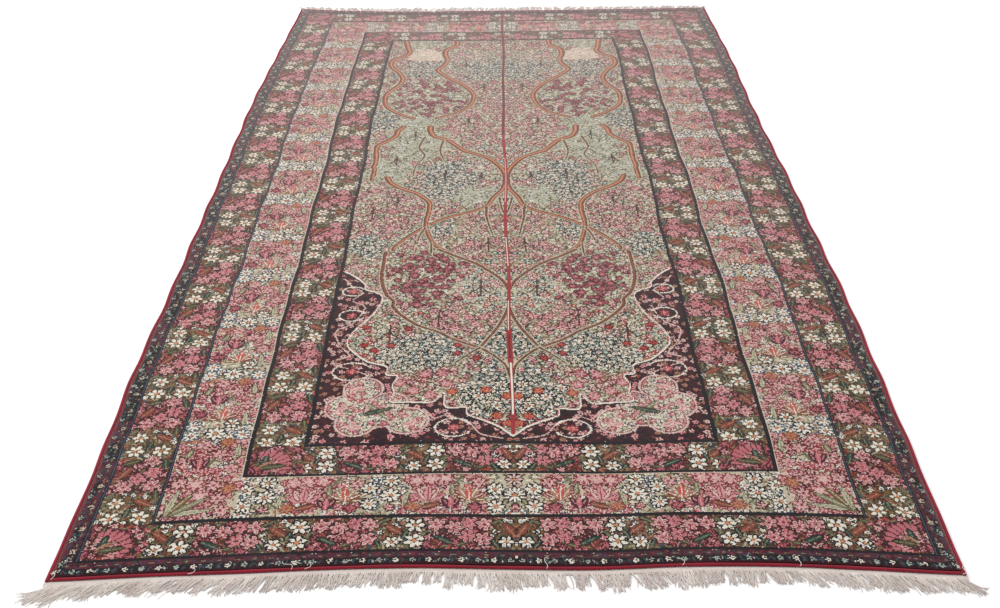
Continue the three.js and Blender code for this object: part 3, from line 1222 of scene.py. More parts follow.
    LOBES: tuple[Point3, ...] = (
        (-290, -930, 40), (-318, -990, 42), (-296, -1040, 40), (-238, -980, 38), (-200, -1036, 42),
        (-250, -1020, 36),
    )
    CURLS: tuple[Point3, ...] = ((-336, -660, 27), (-318, -868, 38), (-112, -1060, 34), (-342, -560, 24))
    VINES: tuple[tuple[Point, ...], ...] = (
        ((-366, -505), (-346, -540), (-322, -566), (-340, -600), (-312, -628), (-330, -690), (-362, -720),
         (-352, -770), (-330, -812), (-362, -836), (-290, -880), (-300, -905)),
        ((-170, -1000), (-150, -1030), (-128, -1024), (-84, -1046), (-60, -1080), (-20, -1092)),
    )
    PINK_ROW: tuple[Point, ...] = (
        (-120, -658), (-86, -668), (-52, -668), (-70, -698), (-114, -714), (-152, -694), (-242, 116),
        (-134, 954), (-52, 496), (-102, 446), (-166, 526), (-280, -176), (-280, -266), (-88, -342),
        (-334, -54),
    )
    LOW_PINKS: tuple[Point, ...] = (
        (-172, -884), (-138, -882), (-130, -918), (-194, -940), (-160, -956), (-220, -912),
    )
    BOUQUET: tuple[Point, ...] = (
        (-206, -414), (-178, -420), (-148, -416), (-212, -494), (-182, -534), (-226, -536), (-140, -542),
        (-150, -500), (-134, -456), (-208, -558), (-160, -570), (-198, -618), (-236, -456), (-180, -466),
    )
    SMALL_REDS: tuple[Point, ...] = (
        (-212, -712), (-246, -776), (-302, -774), (-280, -794), (-108, -778), (-110, -810), (-70, -828),
        (-300, -706),
    )
    ORANGES: tuple[Point, ...] = ((-30, -1024), (-10, -1046), (-10, -960), (-118, -946), (-52, -940))
    BLUE_DAISIES: tuple[Point, ...] = ((-20, -920), (-66, -962), (-70, -1012), (-30, -990), (-96, -930))

    def beds(self) -> list[Bed]:
        """The seven beds of the field.

        Returns:
            The beds, in the order of FieldBed.
        """
        white = Floret(5.8, CREAM, ORANGE, TEAL, 2.2)
        blue = Floret(6.0, CREAM, ORANGE, NAVY, 2.4)
        slate = Floret(5.6, MIST, CREAM, NAVY, 2.2)
        pink = Rose(8.4, 5, PINK, MAROON, ROSE, MAROON, BROWN, BLUSH)
        blush = Rose(7.6, 5, BLUSH, MADDER, PINK, MADDER, RUSSET, CREAM)
        deep = Rose(8.8, 5, MADDER, MAROON, ROSE, MAROON, MAROON, ROSE)
        coral = Floret(5.2, CORAL, CREAM, BROWN, 2.0)
        green = Floret(5.4, CELADON, CREAM, MOSS, 2.2)
        sage = (Leaf(14, 4.4, SAGE, BROWN), Leaf(13, 4, MOSS, BROWN), Leaf(13, 3.6, TEAL, INK),
                Leaf(12, 4, CREAM, CREAM), Leaf(14, 4.2, CREAM, SAGE))
        teal = (Leaf(11, 3.4, NAVY, NAVY), Leaf(12, 3.4, INK, SLATE), Leaf(12, 4, SAGE, MOSS),
                Leaf(12, 4, CREAM, CREAM), Leaf(11, 3.4, SLATE, NAVY))
        warm = (Leaf(12, 4, ROSE, MADDER), Leaf(13, 4, MOSS, BROWN), Leaf(12, 3.6, RUSSET, BROWN),
                Leaf(12, 4, CREAM, BLUSH), Leaf(11, 3.4, MAROON, PLUM))
        return [
            Bed((CELADON, IVORY, SAGE, SAND), (white, pink, blush, green, coral, slate),
                (*sage, *warm, *teal), 0.75, 1.0),
            Bed((CELADON, MIST, CELADON, SAGE), (green, white, green), sage, 0.36),
            Bed((IVORY, CELADON, SAGE, SAND), (pink, blush, white, blush, pink, green),
                (*warm, *sage, *teal), 0.62, 0.95),
            Bed((MIST, INK, CELADON), (blue, blue, slate, white), teal, 0.95),
            Bed((IVORY, CREAM, BLUSH, CELADON),
                (Floret(4, BLUSH, PINK, IVORY), Floret(4.4, CREAM, ORANGE, SAND)),
                (Leaf(10, 3, SAGE, SAGE), Leaf(10, 3, SAND, SAND)), 0.7),
            Bed((IVORY, CELADON, SAGE), (deep, deep, pink, white),
                (*sage, *teal, Leaf(14, 4, CRIMSON, MAROON)), 0.42, 0.9),
            Bed((CELADON, IVORY, MIST), (white, blush, green, slate, coral), sage, 0.85),
        ]

    def where(self, chart: Chart) -> np.ndarray:
        """Chooses the bed of each knot of the field.

        Args:
            chart: The chart with its knot places.

        Returns:
            The bed's number at each knot, or BARE outside the field.
        """
        best = 0.16 + 0.3 * chart.blotches(16)
        bed = np.full(chart.knots.shape, int(self.MIXED))
        for spot in self.SPOTS:
            across, along = (chart.u - spot.u) / spot.wide, (chart.v - spot.v) / spot.long
            away = across[None, :] ** 2 + along[:, None] ** 2
            score = np.exp(-away) + 0.5 * (chart.blotches(7) - 0.5)
            better = score > best
            bed[better] = spot.bed
            best = np.where(better, score, best)
        columns, rows = np.abs(chart.u) < self.HALF_WIDTH, np.abs(chart.v) < self.HALF_LENGTH
        return np.where(rows[:, None] & columns[None, :], bed, BARE)

    def draw(self, chart: Chart) -> None:
        """Draws the meadow, the larger flowers and the spandrel.

        Args:
            chart: The chart to draw on.
        """
        Meadow(14).sow(chart, self.beds(), self.where(chart))
        self.draw_flowers(chart)
        self.draw_spandrel(chart)

    def draw_lines(self, chart: Chart) -> None:
        """Draws the branches and the outlines over the meadow.

        Args:
            chart: The chart to draw on.
        """
        niche = smooth_path(self.NICHE, 2.0)
        for branch in self.BRANCHES:
            path = smooth_path(branch.points, 1.5)
            path = path[np.abs(path[:, 1]) < self.HALF_LENGTH]
            thick = branch.start > self.THICK_FROM
            swell = 1.45 if thick else 1.1
            chart.stroke(path, branch.start * swell + 5, branch.end * swell + 5, CELADON)
            chart.stroke(path, branch.start * swell, branch.end * swell, BROWN)
            chart.stroke(path + (0.8, 0), branch.start * swell - 3, branch.end * swell - 3, RUSSET)
            if thick:
                chart.stroke(path + (1.5, 0), branch.start * 0.45, branch.end * 0.4, ORANGE)
        for u, v in self.TWIGS:
            for lean in (-26, 0, 24):
                tip = (u + lean, v - 66 + 0.5 * abs(lean))
                chart.stroke(smooth_path(((u, v), (u + 0.15 * lean, v - 30), tip), 1.5), 4.4, 2.8, BROWN)
        chart.stroke(niche + (-1.5, -3.5), 4, 4, NAVY)
        chart.stroke(niche, 4.6, 4.6, CREAM)
        chart.stroke(niche + (1.2, 3), 2, 2, ROSE)

    def draw_flowers(self, chart: Chart) -> None:
        """Draws the larger flowers at their listed places.

        Args:
            chart: The chart to draw on.
        """
        groups: tuple[tuple[tuple[Point, ...], Motif], ...] = (
            (self.PINK_ROW, Rose(11.5, 6, PINK, MADDER, ROSE, MAROON, MADDER, BLUSH)),
            (self.LOW_PINKS, Rose(12.5, 6, PINK, MADDER, BLUSH, MAROON, MADDER, PINK)),
            (self.BOUQUET, Rose(11.5, 6, MADDER, MAROON, PINK, MAROON, MAROON, ROSE)),
            (self.SMALL_REDS, Rose(8.5, 5, RED, CRIMSON, CORAL, MAROON, MAROON, CORAL)),
            (self.ORANGES, Rose(10.5, 5, CORAL, RED, ORANGE, RED, MAROON, ORANGE)),
            (self.BLUE_DAISIES, Daisy(13, 7)),
        )
        for places, motif in groups:
            for number, (u, v) in enumerate(places):
                chart.stamp(motif, Pen(u, v, 37.0 * number))

    def draw_pole(self, chart: Chart) -> None:
        """Draws the red pole down the middle of the whole chart, with its white core.

        Args:
            chart: The chart to draw on.
        """
        middle = chart.knots.shape[1] // 2
        for start, end, first, last, yarn in (
            (1418, -1080, -2, 2, CRIMSON),
            (300, -1080, -2, 2, RED),
            (-722, -846, -3, 3, RED),
            (-740, -828, -1, 1, CRIMSON),
            (-308, -446, -1, 0, CREAM),
            (-601, -722, -1, 0, CREAM),
            (-846, -1020, -1, 1, CREAM),
            (140, -120, -1, 0, BLUSH),
            (-1398, -1404, -1, 1, CREAM),
        ):
            rows = slice(*np.searchsorted(chart.v, (end, start)))
            chart.knots[rows, middle + first : middle + last] = yarn

    def draw_spandrel(self, chart: Chart) -> None:
        """Draws the dark corner outside the niche, with its vines and palmette.

        Args:
            chart: The chart to draw on.
        """
        niche = smooth_path(self.NICHE, 2.0)
        wide, low = -self.HALF_WIDTH, -self.HALF_LENGTH
        corner = np.asarray([(0, low), (wide, low), (wide, self.SPANDREL_TOP)], float)
        spandrel = chart.inside(np.vstack([niche, corner]))
        vine = Bed((MAROON, MAROON, NAVY), (
            Floret(7.2, BLUSH, RED, MAROON), Floret(6.4, SAND, RED, MAROON),
            Floret(7.0, PINK, RED, MAROON), Floret(6.2, BLUSH, MADDER, MAROON),
        ), (
            Leaf(10, 3, MADDER, MADDER), Leaf(9, 3, SAND, SAND), Leaf(10, 3, CRIMSON, CRIMSON),
        ), 0.68, 0.3)
        Meadow(17).sow(chart, [vine], np.where(spandrel, 0, BARE))
        for points in self.VINES:
            chart.stroke(smooth_path(points, 1.5), 3.2, 3.2, BLUSH)
        for u, v, radius in self.CURLS:
            angle = np.linspace(0.4, 5.9, 90)
            curl = np.column_stack([u + radius * np.cos(angle), v + 0.8 * radius * np.sin(angle)])
            chart.stroke(curl[np.abs(curl[:, 0]) < self.HALF_WIDTH - 4], 3.6, 3, CREAM)
            chart.stamp(Rose(10, 6, CORAL, RED, PINK, RED, PLUM, PINK), Pen(u, v))
        self.draw_palmette(chart)

    def draw_palmette(self, chart: Chart) -> None:
        """Draws the lobed palmette in the corner of the field.

        Args:
            chart: The chart to draw on.
        """
        depth = np.full(chart.knots.shape, np.inf)
        for u, v, radius in self.LOBES:
            away = np.hypot(chart.u[None, :] - u, chart.v[:, None] - v) - radius
            depth = np.minimum(depth, away)
        depth[:, np.abs(chart.u) > self.HALF_WIDTH - 3] = np.inf
        depth[np.abs(chart.v) > self.HALF_LENGTH - 3] = np.inf
        filling = Bed((CELADON, CREAM, IVORY, BLUSH), (
            Floret(5.4, CREAM, ORANGE, SLATE, 2.0), Rose(6, 5, PINK, MADDER, BLUSH, MADDER, ROSE),
            Floret(5.4, CREAM, ROSE, TEAL, 2.0), Floret(5, CELADON, CREAM, MOSS, 2.0),
        ), (Leaf(11, 3.6, SAGE, MOSS), Leaf(10, 3.4, CREAM, CELADON), Leaf(10, 3, TEAL, SAGE)), 0.8)
        Meadow(13).sow(chart, [filling], np.where(depth < 0, 0, BARE))
        chart.knots[(depth > -4) & (depth < 0)] = BLUSH
        chart.knots[(depth > -6.6) & (depth < -4.6)] = MADDER
        for u, v, turn in ((-298, -940, 120), (-318, -1000, 180), (-290, -1040, 225), (-200, -1036, 310)):
            chart.stamp(Fan(20, 80, 5, BLUSH, PINK, CREAM, ROSE, SAGE), Pen(u, v, turn))
        chart.stamp(Leaf(60, 12, SAGE, CELADON, MOSS), Pen(-262, -998, 130))
        chart.stamp(Leaf(60, 12, TEAL, SAGE, MOSS), Pen(-258, -1004, 20))


class RugPattern:
    """The whole chart, drawn for the left half and mirrored."""

    SEED = 7
    STRAY_GROUND = 0.16
    STRAY_LINES = 0.09

    def __init__(self, columns: int, rows: int) -> None:
        """Draws the chart.

        Args:
            columns: Knots across.
            rows: Knots along.
        """
        self.chart = Chart(columns, rows, self.SEED)
        field = TreeField()
        field.draw(self.chart)
        CreamBorder(Band(142, 267, 127, 234)).draw(self.chart)
        FlowerBorder(Band(275, 368, 240, 319), (-339, -142), -1094.0).draw(self.chart)
        FlowerBorder(Band(42, 135, 42, 120), (-557, -366, -172), -1287.0).draw(self.chart)
        self.draw_guard()
        self.chart.work_unevenly(self.STRAY_GROUND)
        field.draw_lines(self.chart)
        BorderLines().draw(self.chart)
        self.chart.mirror()
        self.chart.work_unevenly(self.STRAY_LINES)
        field.draw_pole(self.chart)

    def draw_guard(self) -> None:
        """Draws the guard border without touching what lies inside it."""
        guard = GuardBorder()
        mask = guard.band.mask(self.chart)
        saved = self.chart.knots.copy()
        guard.draw(self.chart)
        self.chart.knots = np.where(mask, self.chart.knots, saved)

    def packed(self, group: int) -> np.ndarray:
        """Packs square groups of knots into four numbers each.

        Args:
            group: Knots along each side of a group, four.

        Returns:
            One row of four numbers for each group, with the groups in rows from the near left.
        """
        rows, columns = self.chart.knots.shape
        cells = self.chart.knots.reshape(rows // group, group, columns // group, group)
        weights = YARN_COUNT ** np.arange(group)
        return (cells * weights).sum(axis=3).transpose(0, 2, 1).reshape(-1, group).astype(np.float32)


class NodeBench:
    """A small helper that wires shader nodes by name."""

    def __init__(self, name: str) -> None:
        """Makes a fresh material with a plain surface.

        Args:
            name: The material's name.
        """
        self.material = bpy.data.materials.new(name)
        self.material.use_nodes = True
        self.tree = self.material.node_tree
        self.surface = self.tree.nodes["Principled BSDF"]

    def feed(self, socket: Socket, value: Feed) -> None:
        """Links a socket or sets its value.

        Args:
            socket: The socket to feed.
            value: Another socket, or a plain value.
        """
        if isinstance(value, Socket):
            self.tree.links.new(value, socket)
        else:
            socket.default_value = value

    def add(self, kind: str, **settings: object) -> bpy.types.Node:
        """Adds a node and sets its own properties.

        Args:
            kind: The node's type.
            settings: Its properties by name.

        Returns:
            The node.
        """
        node = self.tree.nodes.new(kind)
        for key, value in settings.items():
            setattr(node, key, value)
        return node

    def math(self, operation: str, first: Feed, second: Feed = 0.0, third: Feed = 0.0) -> Socket:
        """Adds a sum on plain numbers.

        Args:
            operation: The sum's name.
            first: Its first number.
            second: Its second number.
            third: Its third number, where it has one.

        Returns:
            The result.
        """
        node = self.add("ShaderNodeMath", operation=operation)
        for socket, value in zip(node.inputs, (first, second, third)):
            self.feed(socket, value)
        return node.outputs[0]

    def vector(self, operation: str, first: Feed, second: Feed = (0.0, 0.0, 0.0)) -> Socket:
        """Adds a sum on vectors.

        Args:
            operation: The sum's name.
            first: Its first vector.
            second: Its second vector.

        Returns:
            The result.
        """
        node = self.add("ShaderNodeVectorMath", operation=operation)
        self.feed(node.inputs[0], first)
        self.feed(node.inputs[1], second)
        return node.outputs[0]

    def split(self, vector: Socket) -> tuple[Socket, Socket, Socket]:
        """Splits a vector into its three numbers.

        Args:
            vector: The vector.

        Returns:
            Its x, y and z.
        """
        node = self.add("ShaderNodeSeparateXYZ")
        self.feed(node.inputs[0], vector)
        return tuple(node.outputs)

    def mix(self, share: Feed, first: Feed, second: Feed, blend: str = "MIX") -> Socket:
        """Mixes two colours.

        Args:
            share: How much of the second colour shows.
            first: The first colour.
            second: The second colour.
            blend: The way they mix.

        Returns:
            The mixed colour.
        """
        node = self.add("ShaderNodeMix", data_type="RGBA", blend_type=blend)
        self.feed(node.inputs["Factor"], share)
        self.feed(node.inputs[6], first)
        self.feed(node.inputs[7], second)
        return node.outputs[2]

    def noise(self, place: Socket, scale: float, detail: float = 2.0, roughness: float = 0.5) -> Socket:
        """Adds soft noise from 0 to 1.

        Args:
            place: Where to read it.
            scale: Its fineness.
            detail: Its octaves.
            roughness: The strength of the fine octaves.

        Returns:
            The noise.
        """
        node = self.add("ShaderNodeTexNoise")
        self.feed(node.inputs["Vector"], place)
        node.inputs["Scale"].default_value = scale
        node.inputs["Detail"].default_value = detail
        node.inputs["Roughness"].default_value = roughness
        return node.outputs["Fac"]

    def spread(self, value: Socket, low: float, high: float) -> Socket:
        """Stretches a number from 0 to 1 over a new range."""
        return self.math("MULTIPLY_ADD", value, high - low, low)

    def bump(self, height: Socket, distance: float, strength: float = 1.0) -> Socket:
        """Turns a height into a bent normal.

        Args:
            height: The height.
            distance: The depth of the relief, in metres.
            strength: How strongly it shows.

        Returns:
            The normal.
        """
        node = self.add("ShaderNodeBump")
        node.inputs["Strength"].default_value = strength
        node.inputs["Distance"].default_value = distance
        self.feed(node.inputs["Height"], height)
        return node.outputs["Normal"]

    def uv(self, name: str) -> Socket:
        """Reads a UV map by its name."""
        return self.add("ShaderNodeUVMap", uv_map=name).outputs[0]

    def object_place(self) -> Socket:
        """Reads the place on the piece itself."""
        return self.add("ShaderNodeTexCoord").outputs["Object"]

    def fabric(self, colour: Socket, height: Socket, relief: Point, roughness: float, sheen: Point,
               tint: str) -> None:
        """Gives the surface a fabric's colour, fine relief, rough scatter and sheen.

        Args:
            colour: The base colour.
            height: The height of the fine relief.
            relief: The depth of the relief in metres, and its strength.
            roughness: The surface roughness.
            sheen: The strength of the sheen, and its spread.
            tint: The sheen's colour.
        """
        inputs = self.surface.inputs
        self.feed(inputs["Base Color"], colour)
        self.feed(inputs["Normal"], self.bump(height, *relief))
        inputs["Roughness"].default_value = roughness
        inputs["Specular IOR Level"].default_value = 0.2
        inputs["Sheen Weight"].default_value, inputs["Sheen Roughness"].default_value = sheen
        inputs["Sheen Tint"].default_value = linear_colour(tint)

    def attribute(self, name: str) -> bpy.types.NodeOutputs:
        """Reads an attribute of the mesh by its name."""
        node = self.add("ShaderNodeAttribute", attribute_name=name, attribute_type="GEOMETRY")
        return node.outputs


@dataclass(frozen=True)
class WoolPileFinish:
    """Short wool pile that reads its yarns from the knot chart."""

    rows: int
    group: int = 4
    speckle: float = 0.22
    streak: float = 0.12
    fade: float = 0.03
    # How much paler the pile grows towards the far end.
    far_paling: float = 0.2
    # How much darker each knot is at its edges, as painted shade in the gaps between knots.
    painted_gap_shade: float = 0.24
    depth: float = 1.45

    def yarn_number(self, bench: NodeBench) -> Socket:
        """Reads the yarn of the knot at each place.

        Args:
            bench: The material's nodes.

        Returns:
            The yarn's number.
        """
        x, y, _ = bench.split(bench.uv(PileRug.CELL_MAP))
        top = self.group - 0.01
        column = bench.math("FLOOR", bench.math("MINIMUM", bench.math("MULTIPLY", x, self.group), top))
        row = bench.math("FLOOR", bench.math("MINIMUM", bench.math("MULTIPLY", y, self.group), top))
        knots = bench.attribute(PileRug.KNOTS)
        packed = [*bench.split(knots["Vector"]), knots["Alpha"]]
        picked: Feed = 0.0
        for number, value in enumerate(packed):
            here = bench.math("COMPARE", row, float(number), 0.5)
            picked = bench.math("MULTIPLY_ADD", value, here, picked)
        weight = bench.math("POWER", float(YARN_COUNT), column)
        whole = bench.math("FLOOR", bench.math("DIVIDE", bench.math("ADD", picked, 0.5), weight))
        return bench.math("FLOORED_MODULO", whole, float(YARN_COUNT))

    def palette(self, bench: NodeBench, number: Socket) -> Socket:
        """Turns a yarn's number into its colour.

        Args:
            bench: The material's nodes.
            number: The yarn's number.

        Returns:
            The yarn's colour.
        """
        ramp = bench.add("ShaderNodeValToRGB")
        stops = ramp.color_ramp
        stops.interpolation = "CONSTANT"
        for yarn in Yarn:
            place = yarn / YARN_COUNT
            stop = stops.elements[yarn] if yarn < 2 else stops.elements.new(place)
            stop.position = place
            stop.color = linear_colour(YARN_COLOURS[yarn])
        share = bench.math("DIVIDE", bench.math("ADD", number, 0.5), float(YARN_COUNT))
        bench.feed(ramp.inputs[0], share)
        return ramp.outputs["Color"]

    def build(self) -> Material:
        """Builds the material.

        Returns:
            The material.
        """
        bench = NodeBench("wool_pile")
        weave = bench.uv(PileRug.WEAVE_MAP)
        cell = bench.vector("FLOOR", weave)
        dye = bench.add("ShaderNodeGamma")
        bench.feed(dye.inputs["Color"], self.palette(bench, self.yarn_number(bench)))
        dye.inputs["Gamma"].default_value = self.depth
        colour = dye.outputs["Color"]
        dice = bench.add("ShaderNodeTexWhiteNoise", noise_dimensions="2D")
        bench.feed(dice.inputs["Vector"], cell)
        across, along, _ = bench.split(bench.vector("FRACTION", weave))
        hump_x = bench.math("SINE", bench.math("MULTIPLY", across, math.pi))
        hump_y = bench.math("SINE", bench.math("MULTIPLY", along, math.pi))
        dome = bench.math("SQRT", bench.math("MULTIPLY", hump_x, hump_y))
        streaks = bench.noise(bench.vector("MULTIPLY", weave, (0.004, 0.22, 0.0)), 1.0, 3.0)
        fibres = bench.noise(bench.vector("MULTIPLY", weave, (1.0, 0.55, 1.0)), 3.4, 3.0, 0.65)
        worn = bench.noise(weave, 0.011, 4.0, 0.6)
        value = bench.spread(dice.outputs["Value"], 1 - self.speckle / 2, 1 + self.speckle / 2)
        streaked = bench.spread(streaks, 1 - self.streak / 2, 1 + self.streak / 2)
        value = bench.math("MULTIPLY", value, streaked)
        # Painted shade: each knot darkens towards its edges, where the gaps between the knots lie.
        value = bench.math("MULTIPLY", value, bench.spread(dome, 1 - self.painted_gap_shade, 1.0))
        value = bench.math("MULTIPLY", value, bench.spread(fibres, 0.88, 1.12))
        shade = bench.add("ShaderNodeHueSaturation")
        bench.feed(shade.inputs["Saturation"], bench.spread(worn, 1.02, 0.86))
        bench.feed(shade.inputs["Value"], value)
        bench.feed(shade.inputs["Color"], colour)
        # The pile is mixed towards pale grey more and more towards the far end, and in worn patches.
        length_share = bench.math("DIVIDE", bench.split(weave)[1], float(self.rows))
        paling = bench.math("MULTIPLY", bench.math("POWER", length_share, 1.6), self.far_paling)
        share = bench.math("ADD", paling, bench.spread(worn, 0.0, self.fade * 2))
        paled = bench.mix(share, shade.outputs[0], linear_colour("B7ADAB"))
        height = bench.math("MULTIPLY_ADD", fibres, 0.7, dome)
        bench.fabric(paled, height, (0.5 * MM, 0.6), 0.95, (0.45, 0.22), "F4F0EA")
        return bench.material


@dataclass(frozen=True)
class WovenBackFinish:
    """The back of the rug: the knots seen from below, with cotton wefts."""

    knots_per_metre: float = 500.0

    def build(self) -> Material:
        """Builds the material.

        Returns:
            The material.
        """
        bench = NodeBench("woven_back")
        place = bench.object_place()
        grid = bench.vector("MULTIPLY", place, (self.knots_per_metre,) * 3)
        dice = bench.add("ShaderNodeTexWhiteNoise", noise_dimensions="2D")
        bench.feed(dice.inputs["Vector"], bench.vector("FLOOR", grid))
        patch = bench.noise(place, 22.0, 3.0, 0.6)
        base = bench.mix(patch, linear_colour("8E5A56"), linear_colour("A79A84"))
        shaded = bench.mix(bench.spread(dice.outputs["Value"], 0.0, 0.45), base, linear_colour("5C3A3C"))
        _, along, _ = bench.split(bench.vector("FRACTION", grid))
        ridge = bench.math("SINE", bench.math("MULTIPLY", along, math.pi))
        bench.fabric(shaded, ridge, (0.4 * MM, 0.6), 0.95, (0.1, 0.5), "E8DCD0")
        return bench.material


@dataclass(frozen=True)
class OvercastFinish:
    """Red wool wound tightly round the edge, with painted highlights on the crests of its winding and
    painted shade in its grooves.
    """

    # The painted highlight on the crests of the winding, and the painted shade in its grooves.
    light: str = "96172B"
    dark: str = "5A0E1E"

    def build(self) -> Material:
        """Builds the material.

        Returns:
            The material.
        """
        bench = NodeBench("red_overcast")
        place = bench.object_place()
        turn = bench.attribute(TubeMesh.TONE)
        patch = bench.noise(place, 38.0, 3.0, 0.6)
        fibres = bench.noise(place, 900.0, 3.0, 0.6)
        # Painted highlight and shade: the tone runs from the groove shade to the crest highlight round
        # each turn of the winding.
        base = bench.mix(turn["Fac"], linear_colour(self.dark), linear_colour(self.light))
        worn = bench.mix(bench.spread(patch, -0.25, 0.65), base, linear_colour("7A2230"))
        lit = bench.mix(bench.spread(fibres, 0.0, 0.35), worn, linear_colour("B83E4C"))
        bench.fabric(lit, fibres, (0.4 * MM, 0.5), 0.9, (0.2, 0.45), "F0C8C8")
        return bench.material


@dataclass(frozen=True)
class CottonFinish:
    """Loose unbleached cotton yarn, greyed by use."""

    clean: str = "EEE7E0"
    grey: str = "C6BAB4"

    def build(self) -> Material:
        """Builds the material.

        Returns:
            The material.
        """
        bench = NodeBench("cotton_warp")
        place = bench.object_place()
        tone = bench.attribute(TubeMesh.TONE)
        stain = bench.noise(place, 30.0, 3.0, 0.6)
        fibres = bench.noise(place, 1500.0, 2.0, 0.6)
        base = bench.mix(tone["Fac"], linear_colour(self.grey), linear_colour(self.clean))
        soiled = bench.mix(bench.spread(stain, -0.3, 0.6), base, linear_colour("C8B5AC"))
        lit = bench.mix(bench.spread(fibres, 0.0, 0.4), soiled, linear_colour("A3948B"))
        bench.fabric(lit, fibres, (0.4 * MM, 0.6), 0.95, (0.15, 0.5), "FFF6EC")
        return bench.material


@dataclass(frozen=True)
class FloorFinish:
    """The pale studio floor."""

    colour: str = "FCFCFC"

    def build(self) -> Material:
        """Builds the material.

        Returns:
            The material.
        """
        bench = NodeBench("studio_floor")
        bench.surface.inputs["Base Color"].default_value = linear_colour(self.colour)
        bench.surface.inputs["Roughness"].default_value = 0.9
        bench.surface.inputs["Specular IOR Level"].default_value = 0.1
        return bench.material


def grid_quads(grid: np.ndarray) -> np.ndarray:
    """The quads of a grid of vertex numbers, in its rows."""
    corners = grid[:-1, :-1], grid[:-1, 1:], grid[1:, 1:], grid[1:, :-1]
    return np.stack(corners, axis=-1).reshape(-1, 4)


def grid_rim(grid: np.ndarray) -> np.ndarray:
    """The numbers round a grid, from its first corner along its first row."""
    return np.concatenate([grid[0, :-1], grid[:-1, -1], grid[-1, :0:-1], grid[:0:-1, 0]])


def linked(name: str, data: bpy.types.ID) -> Piece:
    """Puts some data into the scene as an object.

    Args:
        name: The object's name.
        data: Its mesh, light or camera.

    Returns:
        The object.
    """
    thing = bpy.data.objects.new(name, data)
    bpy.context.scene.collection.objects.link(thing)
    return thing


